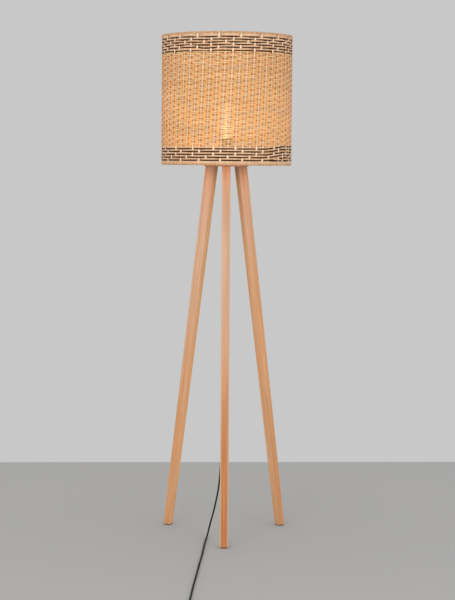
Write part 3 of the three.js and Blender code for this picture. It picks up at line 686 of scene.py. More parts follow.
@dataclass(frozen=True)
class TimberFinish(Finish):
    """Pale lacquered timber; the grain follows an attribute, or Object coordinates when none is named."""

    gloss: float = 0.3
    attribute: str = ""
    turn: tuple[float, float, float] = (0.0, 0.0, 0.0)
    fibre: float = 700.0
    length: float = 11.0
    figure: float = 0.45
    fleck: float = 0.45
    grain_height: float = 0.2 * MM

    def finish_colour(self, graph: Graph, colour: Socket) -> Socket:
        """Returns the grain's colour as it is."""
        return colour

    def make(self) -> bpy.types.Material:
        """Returns the material."""
        material, graph, shader = self.bench()
        place = graph.attribute(self.attribute) if self.attribute else graph.place()
        place = graph.node("Mapping", {"Vector": place, "Rotation": self.turn}).outputs[0]
        grain = self.grained(graph, place, Fibre=self.fibre, Length=self.length, Figure=self.figure, Fleck=self.fleck)
        rough = graph.plus(graph.times(grain["Sheen"], 0.2), self.rough - 0.1)
        graph.feed(shader, {"Base Color": self.finish_colour(graph, grain["Colour"]), "Roughness": rough})
        self.add_bump(graph, shader, grain["Height"], self.grain_height)
        return material


@dataclass(frozen=True)
class LegFinish(TimberFinish):
    """A leg's timber, with painted shade that deepens it towards the foot, a painted bounce on its inward face and
    painted highlights along its rounded edges.
    """

    attribute: str = "grain_place"
    # Painted light: the foot colours are painted shade towards the floor, the inner colours a painted warm bounce on
    # the inward face, and the edge colour painted highlights along the rounded edges, weaker on the inward side.
    foot: Colour = (0.8, 0.6, 0.4)
    foot_shade_reach: tuple[float, float] = (0.25, 0.9)
    inner: Colour = (1.18, 1.12, 0.88)
    inner_bounce_foot: Colour = (1.06, 0.93, 0.82)
    edge: Colour = (0.72, 0.49, 0.33)
    edge_highlight_share: float = 0.85
    ridge_highlight_share: float = 0.3

    def finish_colour(self, graph: Graph, colour: Socket) -> Socket:
        """Returns the grain's colour with the painted shade towards the foot, the painted bounce and the painted edge
        highlights.
        """
        out, across, up = graph.split(graph.attribute("side_share"))
        # Painted shade deepens the colour towards the foot, and the inward face gets a painted warm bounce.
        faces_in = graph.math("LESS_THAN", out, -0.98)
        foot = graph.mix(faces_in, self.foot, self.inner_bounce_foot)
        shaded_to_foot = graph.mix(graph.inverse(graph.ramp(up, *self.foot_shade_reach)), colour, foot, "MULTIPLY")
        shaded_to_foot = graph.mix(faces_in, shaded_to_foot, self.inner, "MULTIPLY")
        # Painted highlights along the rounded edges, weaker on the inward side.
        near = graph.math("MINIMUM", graph.math("ABSOLUTE", out), graph.math("ABSOLUTE", across))
        inward = graph.math("LESS_THAN", out, 0.0)
        share = graph.minus(self.edge_highlight_share, graph.times(inward, self.edge_highlight_share - self.ridge_highlight_share))
        return graph.mix(graph.times(graph.ramp(near, 0.62, 0.86), share), shaded_to_foot, self.edge)


@dataclass(frozen=True)
class MouldedFinish(Finish):
    """Moulded plastic, sheathing, enamel or plain metal, with a fine uneven surface."""

    grain: float = 3000.0
    bump_height: float = 0.05 * MM

    def make(self) -> bpy.types.Material:
        """Returns the material."""
        material, graph, shader = self.bench()
        inputs = {"Place": graph.place(), "Grain": self.grain, "Rough": self.rough}
        mottle = graph.node("Group", inputs, node_tree=mottle_group()).outputs
        colour = graph.mix(graph.ramp(mottle["Tone"], 0.3, 0.7), self.pale, self.deep)
        graph.feed(shader, {"Base Color": colour, "Roughness": mottle["Roughness"]})
        self.add_bump(graph, shader, mottle["Height"], self.bump_height)
        return material


@dataclass(frozen=True)
class CaneFinish(Finish):
    """Split cane whose fibres follow the strand's own map, U in stakes passed and V in strands and turns. It can carry
    painted light: painted shade in the hollows beside the stakes, on the stakes' side faces and along the strands'
    edges, painted highlights where strands pass over stakes, and a painted glow between the stakes.
    """

    slow_tint: Colour = (0.80, 0.68, 0.52)
    hollow_shade: float = 0.0
    hollow_shade_tint: Colour = (0.70, 0.32, 0.09)
    ridge_highlight: float = 0.0
    ridge_highlight_colour: Colour = (1.0, 0.72, 0.48)
    edge_shade: float = 0.0
    edge_shade_tint: Colour = (0.50, 0.34, 0.20)
    flank_shade: Colour = BLACK
    band_colour: Colour = BLACK
    band_depth: float = 58 * MM
    strand_waves: float = 0.135
    along: float = 0.022
    around: float = 0.012
    grain_height: float = 0.25 * MM

    def make(self) -> bpy.types.Material:
        """Returns the material."""
        material, graph, shader = self.bench()
        stakes, turns, _ = graph.split(graph.node("UVMap", uv_map="strand").outputs[0])
        row = graph.math("FLOOR", turns)
        place = graph.combine(graph.times(turns, self.around), graph.times(row, 0.37),
                              graph.times(stakes, self.along))
        grain = self.grained(graph, place, Fibre=1700.0, Length=30.0, Figure=0.55, Fleck=0.2)
        strands = graph.combine(graph.times(stakes, self.strand_waves), graph.times(row, 3.71), 0.0)
        slow = graph.noise(strands, detail=1.0)
        colour = graph.mix(graph.times(graph.ramp(slow, 0.32, 0.68), 0.55), grain["Colour"], self.slow_tint,
                           "MULTIPLY")
        if self.band_colour[0] > 0:
            colour = graph.mix(self.in_bands(graph), colour, self.band_colour)
        # Painted highlight where a strand bends out over a stake.
        if self.ridge_highlight > 0:
            on_stake = graph.inverse(graph.ramp(graph.to_whole(stakes), 0.05, 0.17))
            colour = graph.mix(graph.times(on_stake, self.ridge_highlight), colour, self.ridge_highlight_colour)
        # Painted shade along each strand's upper and lower edges, stronger in places.
        if self.edge_shade > 0:
            wave = graph.math("ABSOLUTE", graph.math("SINE", graph.times(turns, TURN)))
            shade = graph.times(graph.ramp(wave, 0.55, 1.0), self.edge_shade)
            shade = graph.times(shade, graph.plus(0.4, graph.ramp(slow, 0.3, 0.7)))
            colour = graph.mix(shade, colour, self.edge_shade_tint, "MULTIPLY")
        # Painted shade in the hollow beside each stake where the strand dives behind it.
        if self.hollow_shade > 0:
            under_stake = graph.inverse(graph.ramp(graph.to_whole(graph.math("DIVIDE", stakes, 3.0)), 0.07, 0.135))
            hollow_shade = graph.times(under_stake, self.hollow_shade)
            colour = graph.mix(hollow_shade, colour, self.hollow_shade_tint, "MULTIPLY")
        # Painted shade on the stakes' side faces, which show where the strands dive behind them.
        if self.flank_shade[0] > 0:
            across = graph.distance(graph.math("FRACT", turns), 0.5)
            colour = graph.mix(graph.math("GREATER_THAN", across, 0.196), colour, self.flank_shade)
        graph.feed(shader, {"Base Color": colour})
        # Painted glow: the bulb's light showing through the single layer of cane between the stakes, strongest level
        # with the bulb and none in the hollows.
        if self.glow_strength > 0:
            lit = graph.times(graph.ramp(graph.to_whole(stakes), 0.12, 0.4),
                              graph.plus(0.45, graph.times(slow, 1.1)))
            lit = graph.times(graph.times(lit, self.near_bulb(graph)), graph.inverse(hollow_shade))
            self.light_up(graph, material, shader, lit)
        self.add_bump(graph, shader, grain["Height"], self.grain_height)
        return material

    def in_bands(self, graph: Graph) -> Socket:
        """Returns a mask that is 1 in the shade's two dark bands, where the stakes are peeled paler."""
        low, high = (corner.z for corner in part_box("woven_wall"))
        off = graph.distance(graph.split(graph.place())[2], (low + high) / 2)
        edge = (high - low) / 2 - self.band_depth
        return graph.ramp(off, edge + 2 * MM, edge + 6 * MM)

    def near_bulb(self, graph: Graph) -> Socket:
        """Returns a value that is 1 level with the bulb and fades above and below it."""
        off = graph.distance(graph.split(graph.place())[2], centre_of("bulb_glass").z)
        return graph.plus(0.3, graph.times(graph.inverse(graph.ramp(off, 0.02, 0.24)), 0.7))


@dataclass(frozen=True)
class GlassFinish(Finish):
    """Clear glass with a painted glow in the middle, standing for the filament's light in it."""

    reach: float = 22 * MM

    def make(self) -> bpy.types.Material:
        """Returns the material."""
        material, graph, shader = self.bench()
        graph.feed(shader, {"Transmission Weight": 1.0, "IOR": 1.45})
        x, y, _ = graph.split(graph.place())
        squares = (graph.math("POWER", x, 2.0), graph.math("POWER", graph.minus(y, AXIS.y), 2.0))
        off = graph.math("SQRT", graph.plus(*squares))
        self.light_up(graph, material, shader, graph.inverse(graph.ramp(off, 0.4 * self.reach, self.reach)))
        return material


@dataclass(frozen=True)
class GlowFinish(Finish):
    """A glowing wire."""

    gloss: float = 0.0
    ember: Colour = (0.8, 0.35, 0.08)

    def make(self) -> bpy.types.Material:
        """Returns the material."""
        material, graph, shader = self.bench()
        lit = graph.ramp(graph.noise(graph.stretch(graph.place(), (400.0, 400.0, 400.0))), 0.1, 0.6)
        self.light_up(graph, material, shader, lit, self.ember)
        return material


class Finishes:
    """The lamp's finishes, each made once, with the name of the slot that it is for."""

    def __init__(self) -> None:
        """Makes every material."""
        timber = {"rough": 0.5, "bump": 0.25}
        side = {"pale": (0.92, 0.62, 0.42), "deep": (0.64, 0.36, 0.21), **timber}
        # Each leg has its own painted light: its painted shade towards the foot and its painted bounce on the inward
        # face are set for how the light falls on it.
        self.legs = {
            "front": LegFinish("beech_leg_front", (0.83, 0.55, 0.365), (0.58, 0.32, 0.185), foot=(0.90, 0.58, 0.34),
                               foot_shade_reach=(0.22, 0.8), **timber).look("beech"),
            "left": LegFinish("beech_leg_left", foot=(1.0, 0.79, 0.58), **side).look("beech"),
            "right": LegFinish("beech_leg_right", foot=(0.93, 0.73, 0.52), foot_shade_reach=(0.6, 0.95),
                               inner=(1.04, 1.0, 0.84), **side).look("beech"),
        }
        self.disc = TimberFinish("beech_disc", (0.68, 0.38, 0.21), (0.50, 0.25, 0.12), 0.55, bump=0.25,
                                 turn=(0.0, math.pi / 2, 0.0)).look("beech")
        self.weft = CaneFinish("cane_weft", (0.98, 0.67, 0.335), (0.73, 0.425, 0.17), 0.6, bump=0.4,
                               glow=(1.0, 0.48, 0.14), glow_strength=0.18, hollow_shade=0.9, ridge_highlight=0.8,
                               edge_shade=0.5).look("rattan")
        self.band = CaneFinish("cane_band", (1.0, 0.70, 0.45), (0.80, 0.46, 0.24), 0.55, bump=0.3, hollow_shade=0.2,
                               ridge_highlight=0.3, edge_shade=0.25).look("rattan")
        self.dark = CaneFinish("cane_dark", (0.075, 0.024, 0.010), (0.016, 0.005, 0.003), 0.6, bump=0.5,
                               gloss=0.25).look("rattan")
        self.stake = CaneFinish("cane_stake", (1.0, 0.71, 0.46), (0.81, 0.49, 0.27), 0.6, bump=0.3,
                                band_colour=(1.0, 0.80, 0.58), flank_shade=(0.48, 0.21, 0.08)).look("rattan")
        self.binding = CaneFinish("cane_binding", (0.97, 0.64, 0.39), (0.86, 0.52, 0.29), 0.55, bump=0.35,
                                  edge_shade=0.3).look("binding")
        self.plastic = MouldedFinish("black_moulding", (0.012, 0.011, 0.011), (0.018, 0.017, 0.016), 0.38, bump=0.2,
                                     grain=2600.0).look("black_plastic")
        self.sheath = MouldedFinish("lead_sheath", (0.004, 0.0035, 0.0037), (0.007, 0.006, 0.006), 0.6, bump=0.15,
                                    grain=1800.0, gloss=0.15).look("cord_sheath")
        self.enamel = MouldedFinish("pale_enamel", (0.72, 0.66, 0.57), (0.66, 0.60, 0.51), 0.35,
                                    grain=900.0).look("wire")
        self.zinc = MouldedFinish("zinc_plate", (0.52, 0.52, 0.53), (0.44, 0.45, 0.46), 0.32, 1.0,
                                  grain=1500.0).look("zinc_steel")
        self.brass = MouldedFinish("plain_brass", (0.62, 0.40, 0.12), (0.52, 0.32, 0.09), 0.33, 1.0,
                                   grain=1500.0).look("brass")
        self.cap = MouldedFinish("rolled_cap", (0.60, 0.57, 0.52), (0.50, 0.48, 0.43), 0.3, 1.0,
                                 grain=1500.0).look("cap_metal")
        self.ceramic = MouldedFinish("pale_insulator", (0.80, 0.77, 0.70), (0.74, 0.70, 0.62), 0.3,
                                     bump=0.05).look("ceramic")
        self.felt = MouldedFinish("dark_felt", (0.075, 0.06, 0.048), (0.05, 0.04, 0.032), 0.95, bump=0.8,
                                  grain=5000.0, bump_height=0.3 * MM).look("felt")
        self.glass = GlassFinish("bulb_glass", (1.0, 0.93, 0.80), rough=0.02, glow=(1.0, 0.84, 0.52),
                                 glow_strength=0.36, reach=34 * MM).look("glass")
        self.stem = GlassFinish("bulb_stem", (1.0, 0.96, 0.9), rough=0.05, glow=(1.0, 0.84, 0.52),
                                glow_strength=0.8, reach=20 * MM).look("glass")
        self.filament = GlowFinish("filament", BLACK, glow=(1.0, 0.94, 0.74),
                                   glow_strength=2.0).look("filament")


# The camera, the floor and the light


@dataclass
class Studio:
    """The camera at the photograph's angle, a plain pale floor and soft light."""

    eye_side: float = 6.5 * MM
    orbit: float = math.radians(-0.2)
    eye_back: float = 5.0
    eye_height: float = 1.173
    pitch: float = math.radians(5.03)
    roll: float = math.radians(0.39)
    lens: float = 96.84
    floor_size: float = 90.0
    floor_colour: Colour = (0.47, 0.47, 0.465)
    floor_end: float = 1.17
    floor_skew: float = -0.037
    floor_seen: Colour = (0.405, 0.405, 0.40)
    floor_near: tuple[float, float] = (1.5, 2.6)
    world_light: float = 1.04
    world_dim: float = 0.42
    world_seen: Colour = (0.58, 0.58, 0.58)
    aim: Vector = field(default_factory=lambda: Vector((0, 0, 0.9)))

    def add_camera(self) -> None:
        """Adds the camera and makes it the scene's own."""
        data = bpy.data.cameras.new("camera")
        data.lens = self.lens
        data.sensor_width = 36.0
        data.clip_end = 100.0
        camera = link("camera", data)
        turn = Matrix.Rotation(math.pi / 2 - self.pitch, 4, "X") @ Matrix.Rotation(self.roll, 4, "Z")
        place = Matrix.Translation((self.eye_side, -self.eye_back, self.eye_height))
        camera.matrix_world = round_axis(self.orbit) @ place @ turn
        bpy.context.scene.camera = camera

    def add_floor(self) -> None:
        """Adds the floor: lit near the lamp, plain further out, and of the background's own tone behind it."""
        deselect_all()
        bpy.ops.mesh.primitive_plane_add(size=self.floor_size, location=(0, 0, 0))
        floor = newest("studio_floor")
        material, graph, shader = Finish("studio_floor", self.floor_colour, rough=0.8, gloss=0.1).bench()
        place = graph.place()
        x, y, _ = graph.split(place)
        far = graph.math("GREATER_THAN", graph.plus(y, graph.times(x, self.floor_skew)), AXIS.y + self.floor_end)
        out = graph.node("VectorMath", {0: place}, operation="LENGTH").outputs["Value"]
        away = graph.math("MAXIMUM", far, graph.ramp(out, *self.floor_near))
        seen = graph.times(away, graph.node("LightPath").outputs["Is Camera Ray"])
        ground = graph.node("Emission", {0: graph.mix(far, self.floor_seen, self.world_seen), 1: 1.0})
        mix = graph.node("MixShader", {0: seen, 1: shader.outputs[0], 2: ground.outputs[0]})
        graph.feed(graph.tree.nodes["Material Output"], {0: mix.outputs[0]})
        floor.data.materials.append(material)

    def add_world(self) -> None:
        """Lights the scene from all round, and shows a plain pale ground behind it."""
        world = bpy.data.worlds.new("studio")
        bpy.context.scene.world = world
        world.use_nodes = True
        graph = Graph(world.node_tree)
        graph.tree.nodes.clear()
        up = graph.split(graph.node("TexCoord").outputs["Generated"])[2]
        level = graph.minus(self.world_light, graph.times(graph.ramp(up, 0.15, 0.95), self.world_dim))
        light = graph.node("Background", {0: (1, 1, 1), 1: level})
        seen = graph.node("Background", {0: self.world_seen, 1: 1.0})
        path = graph.node("LightPath").outputs
        shown = graph.math("MAXIMUM", path["Is Camera Ray"], path["Is Transmission Ray"])
        shown = graph.math("MAXIMUM", shown, path["Is Glossy Ray"])
        mix = graph.node("MixShader", {0: shown, 1: light.outputs[0], 2: seen.outputs[0]})
        graph.node("OutputWorld", {0: mix.outputs[0]})

    def add_area(self, name: str, place: Vector, size: float, power: float, colour: Colour) -> None:
        """Adds a square soft light that faces the lamp.

        Args:
            name: Its name.
            place: Where it stands.
            size: Its side.
            power: Its power in watts.
            colour: Its colour.
        """
        data = bpy.data.lights.new(name, "AREA")
        data.size = size
        data.energy = power
        data.color = colour
        light = link(name, data)
        light.location = place
        light.rotation_euler = (self.aim - place).to_track_quat("-Z", "Y").to_euler()

    def build(self) -> None:
        """Builds the floor, the world and the lights."""
        self.add_floor()
        self.add_world()
        self.add_area("key", Vector((-1.6, -4.4, 1.5)), 2.0, 50.0, (1.0, 0.985, 0.965))
        self.add_area("fill", Vector((2.6, -3.6, 1.2)), 2.4, 23.0, (0.97, 0.985, 1.0))
        bpy.context.scene.view_settings.view_transform = "Standard"


# The lead: its route, its in-line switch, its coil and its plug


def smooth_route(points: Sequence[Vector], steps: int) -> list[Vector]:
    """Samples the centripetal curve through points, as the lead's solid follows it.

    Args:
        points: The points on the route.
        steps: The samples between two points.

    Returns:
        The samples, both ends among them.
    """
    count = len(points)
    samples: list[Vector] = []
    for index in range(count - 1):
        second, third = points[index], points[index + 1]
        first = points[index - 1] if index > 0 else 2 * second - third
        fourth = points[index + 2] if index + 2 < count else 2 * third - second
        gaps = [max(math.sqrt((b - a).length), 1e-6) for a, b in ((first, second), (second, third), (third, fourth))]
        leave = (second - first) / gaps[0] - (third - first) / (gaps[0] + gaps[1]) + (third - second) / gaps[1]
        arrive = (third - second) / gaps[1] - (fourth - second) / (gaps[1] + gaps[2]) + (fourth - third) / gaps[2]
        leave, arrive = leave * gaps[1], arrive * gaps[1]
        for step in range(steps):
            t = step / steps
            samples.append(
                second * (2 * t**3 - 3 * t**2 + 1) + leave * (t**3 - 2 * t**2 + t)
                + third * (3 * t**2 - 2 * t**3) + arrive * (t**3 - t**2))
    samples.append(points[-1])
    return samples


def route_length(points: Sequence[Vector]) -> float:
    """Returns the length of a chain of points."""
    return sum((b - a).length for a, b in zip(points, points[1:]))


def smoothstep(value: float | np.ndarray, low: float, high: float) -> float | np.ndarray:
    """Returns the smooth step from 0 at low to 1 at high."""
    share = np.clip((value - low) / (high - low), 0.0, 1.0)
    return share * share * (3 - 2 * share)


@dataclass
class Lead:
    """The black lead, from the grip under the disc to its plug."""

    finishes: Finishes
    radius: float = 2.5 * MM
    gap: float = 0.3 * MM
    run_route: tuple[tuple[float, float, float], ...] = (
        (0, 0, 1060), (0, 0, 980), (-0.5, 0, 840), (-1, 0, 690), (-2.5, 0, 520), (-5, -0.5, 380),
        (-8, -1.5, 280), (-12, -3, 205), (-17.5, -6, 143), (-24.5, -13, 105), (-32, -23, 73), (-40.5, -38, 44),
        (-47, -58, 22), (-51, -79, 9), (-54, -101, 3.6), (-56.5, -128, 2.7), (-60, -200, 2.7),
        (-65, -310, 2.7), (-72, -430, 2.7), (-78, -545, 2.7), (-84.5, -660, 2.7), (-89.5, -770, 2.7),
        (-91.5, -830, 2.7), (-87, -864, 2.7), (-74, -889, 2.7), (-55, -902, 3.4), (-36, -905, 6))
    coil_loops: float = 4.5
    coil_middle: float = 30 * MM
    coil_gap: float = 0.5 * MM
    coil_steps: int = 40
    tie_thickness: float = 0.8 * MM
    switch_split: float = 8.4 * MM
    plug_thickness: float = 13.6 * MM
    plug_gap: float = 22 * MM
    plug_tail: float = 22 * MM
    case_sides: int = 64
    case_fullness: float = 0.62
    seam_round: float = 0.4 * MM
    rocker_window: tuple[float, float] = (21 * MM, 11.6 * MM)
    relief_radius: float = 5.4 * MM
    relief_ribs: int = 6
    rib_radii: tuple[float, float] = (4.9 * MM, 3.4 * MM)
    rib_groove: float = 0.5 * MM
    collar_length: float = 4 * MM
    collar_edge: float = 0.4 * MM
    plug_half: float = 13 * MM
    plug_neck: float = 6 * MM
    plug_taper: float = 12 * MM

    def run_points(self) -> list[Vector]:
        """Returns the centre line from the grip to the switch."""
        start = Vector((AXIS.x, AXIS.y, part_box("cord_grip")[0].z - self.gap))
        end = Vector((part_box("switch_relief_in")[0].x - self.gap, centre_of("switch_relief_in").y, self.switch_split))
        middle = [AXIS + MM * Vector(point) for point in self.run_route]
        return smooth_route([start, *middle, end], 8)

    def coil_point(self, loop: float) -> Vector:
        """Returns the coil's centre line at a number of loops from its start."""
        pitch = 2 * self.radius + self.coil_gap
        outer = self.coil_middle + pitch * self.coil_loops / 4
        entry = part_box("switch_relief_out")[1].x + self.gap
        centre = Vector((entry + self.coil_middle, centre_of("switch_relief_out").y - outer, 0))
        radius = outer - pitch * min(loop, self.coil_loops - loop)
        climb = smoothstep(loop, self.coil_loops / 2 - 1 / 4, self.coil_loops / 2 + 1 / 4)
        angle = math.pi / 2 - TURN * loop
        height = self.radius + self.tie_thickness + 2 * self.gap + pitch * climb
        return centre + Vector((radius * math.cos(angle), radius * math.sin(angle), height))

    def eased(self, start: Vector, end: Vector) -> list[Vector]:
        """Returns five points between two places that leave and arrive level."""
        points = []
        for step in range(5):
            share = step / 4
            point = start.lerp(end, share)
            point.z = start.z + (end.z - start.z) * smoothstep(share, 0, 1)
            points.append(point)
        return points

    def rest_points(self) -> list[Vector]:
        """Returns the centre line from the switch through the coil to the plug."""
        steps = round(self.coil_loops * self.coil_steps)
        coil = [self.coil_point(step / self.coil_steps) for step in range(steps + 1)]
        lead = Vector((2 * self.radius, 0, 0))
        start = Vector((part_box("switch_relief_out")[1].x + self.gap, centre_of("switch_relief_out").y,
                        self.switch_split))
        into = smooth_route(self.eased(start, coil[0] - lead), 3)
        plug_end = Vector((coil[-1].x - 2 * self.radius - self.gap - self.plug_gap, coil[-1].y,
                           self.plug_thickness / 2))
        out = smooth_route(self.eased(coil[-1] - lead, plug_end), 3)
        return [*into, *coil, *out]

    def round_level(self, piece: bpy.types.Object, level: float, width: float) -> None:
        """Rounds a piece's level edges at one height by a width."""
        with editing(piece):
            choose(piece, "EDGE", lambda place, along: abs(place.z - level) < SAME_LEVEL and abs(along.z) < 0.1)
            bpy.ops.mesh.bevel(offset=width, segments=4)

    def switch_half(self, name: str, node: str, rounding: float, on_top: bool) -> None:
        """Builds one half of the switch's case: full sides, softly rounded ends and a fine line at the seam.

        Args:
            name: Its name.
            node: The frame's node that it stands for.
            rounding: The rounding of its outer rim.
            on_top: Whether it is the upper half.
        """
        low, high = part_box(node)
        middle, reach = (low + high) / 2, (high - low) / 2
        outline = []
        for step in range(self.case_sides):
            angle = TURN * (step + 0.5) / self.case_sides
            along, across = (math.copysign(abs(share) ** self.case_fullness, share)
                             for share in (math.cos(angle), math.sin(angle)))
            outline.append((middle.x + reach.x * along, middle.y + reach.y * across))
        half = plate(name, outline, low.z, high.z)
        self.round_level(half, high.z if on_top else low.z, rounding)
        self.round_level(half, low.z if on_top else high.z, self.seam_round)
        if on_top:
            length, width = self.rocker_window
            corners = [(middle.x + length / 2 * x, middle.y + width / 2 * y)
                       for x, y in ((-1, -1), (1, -1), (1, 1), (-1, 1))]
            cut_away(half, plate("window", corners, low.z - 1 * MM, high.z + 1 * MM))
        smooth(half, 40)
        dress(half, self.finishes.plastic, node)

    def ribbed_relief(self, name: str, wide: Vector, length: float, turn: float) -> bpy.types.Object:
        """Turns a ribbed, tapered strain relief and lays it along the lead.

        Args:
            name: Its name.
            wide: The middle of its wide end.
            length: Its length.
            turn: The turn about Y from upright.

        Returns:
            The relief.
        """
        collar, start, edge = self.relief_radius, self.collar_length, self.collar_edge
        count = 2 * self.relief_ribs
        rise = (length - start) / count
        thick, thin = self.rib_radii
        radii = [thick - (thick - thin) * step / (count - 1) - (0 if step % 2 else self.rib_groove)
                 for step in range(count)]
        outline = [(0, 0), (collar - edge, 0), (collar, edge), (collar, start - edge), (collar - edge, start),
                   *rib_outline(radii, start, rise), (0, start + rise * (count - 0.15))]
        piece = turned(name, outline, 32, Vector((0, 0, 0)))
        stand_at(piece, Matrix.Translation(wide) @ Matrix.Rotation(turn, 4, "Y"))
        smooth(piece, 30)
        return piece

    def plug(self) -> list[str]:
        """Builds the plug: a rounded body with a sunk panel, its ribbed tail and two round-tipped pins.

        Returns:
            The pieces' names.
        """
        low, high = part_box("plug_body")
        middle = (low + high) / 2
        neck = high.x - self.plug_tail
        side = ((low.x, self.plug_half), (neck - self.plug_taper, self.plug_half), (neck, self.plug_neck))
        outline = [(x, middle.y - y) for x, y in side] + [(x, middle.y + y) for x, y in reversed(side)]
        body = plate("plug_shell", outline, low.z, high.z)
        soften(body, 2.4 * MM, 4, 20)
        with editing(body):
            choose(body, "FACE", lambda place, normal: normal.z > 0.999 and place.z > high.z - SAME_LEVEL)
            bpy.ops.mesh.inset(thickness=2.5 * MM, depth=0)
            bpy.ops.mesh.inset(thickness=0.5 * MM, depth=-0.5 * MM)
        smooth(body, 30)
        tail = self.ribbed_relief("plug_tail", Vector((neck - 0.5 * MM, middle.y, middle.z)),
                                  self.plug_tail + 0.5 * MM, math.pi / 2)
        shell = join([body, tail], "plug_shell")
        dress(shell, self.finishes.plastic, "plug_body")
        names = [shell.name]
        for side_name in ("left", "right"):
            node = f"plug_pin_{side_name}"
            start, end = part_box(node)
            line = (start + end) / 2
            pin = rod(f"pin_{side_name}", (end.z - start.z) / 2, Vector((start.x, line.y, line.z)),
                      Vector((end.x, line.y, line.z)), 32)
            soften(pin, 1.1 * MM, 4)
            smooth(pin, 40)
            dress(pin, self.finishes.brass, node)
            names.append(pin.name)
        return names

    def small_pieces(self) -> tuple[list[str], list[str]]:
        """Builds or dresses the switch, the tie and the plug.

        Returns:
            The names of the pieces on the first stretch, and of those on the second.
        """
        self.switch_half("switch_case_base", "switch_base", 1.2 * MM, False)
        self.switch_half("switch_case_cover", "switch_cover", 2.6 * MM, True)
        for side, turn in (("in", -math.pi / 2), ("out", math.pi / 2)):
            node = f"switch_relief_{side}"
            low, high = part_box(node)
            wide = (low + high) / 2
            wide.x = high.x if side == "in" else low.x
            dress(self.ribbed_relief(f"relief_{side}", wide, high.x - low.x, turn), self.finishes.plastic, node)
        dress_nodes(self.finishes.plastic, "switch_rocker", "coil_tie")
        dress_nodes(self.finishes.brass, "switch_contact")
        first = ["switch_case_base", "switch_case_cover", "switch_rocker", "switch_contact", "relief_in"]
        return first, ["relief_out", "coil_tie", *self.plug()]

    def stretch(self, name: str, points: Sequence[Vector], nodes: Sequence[str], far_end: str, lay: str,
                pieces: Sequence[str]) -> None:
        """Args:
            name: Its name.
            points: Its centre line.
            nodes: The frame's nodes that it stands for.
            far_end: What it ends in. It is not used.
            lay: How it lies. It is not used.
            pieces: The names of the pieces on it. It is not used.
        """
        data = bpy.data.curves.new(name, "CURVE")
        data.dimensions = "3D"
        data.bevel_depth = self.radius
        data.bevel_resolution = 4
        data.use_fill_caps = True
        spline = data.splines.new("POLY")
        spline.points.add(len(points) - 1)
        for point, place in zip(spline.points, points):
            point.co = (*place, 1.0)
        spline.use_smooth = True
        material, slot = self.finishes.sheath
        data.materials.append(material)
        lead = link(name, data)
        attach(lead, LAMP_BODY)
        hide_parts(*nodes)
        log.info("%s: %.3f m", name, route_length(points))

    def build(self) -> None:
        """Builds the lead's two stretches and dresses what is on them."""
        on_run, on_rest = self.small_pieces()
        self.stretch("lead_run", self.run_points(), ["cord_run"], "fitting", "loose", on_run)
        self.stretch("lead_rest", self.rest_points(), ["cord_link", "cord_coil", "cord_tail"], "plug", "coiled",
                     on_rest)
        dress_nodes(self.finishes.sheath, "cord_inner")


# The stand: legs, disc, pads and what fastens them


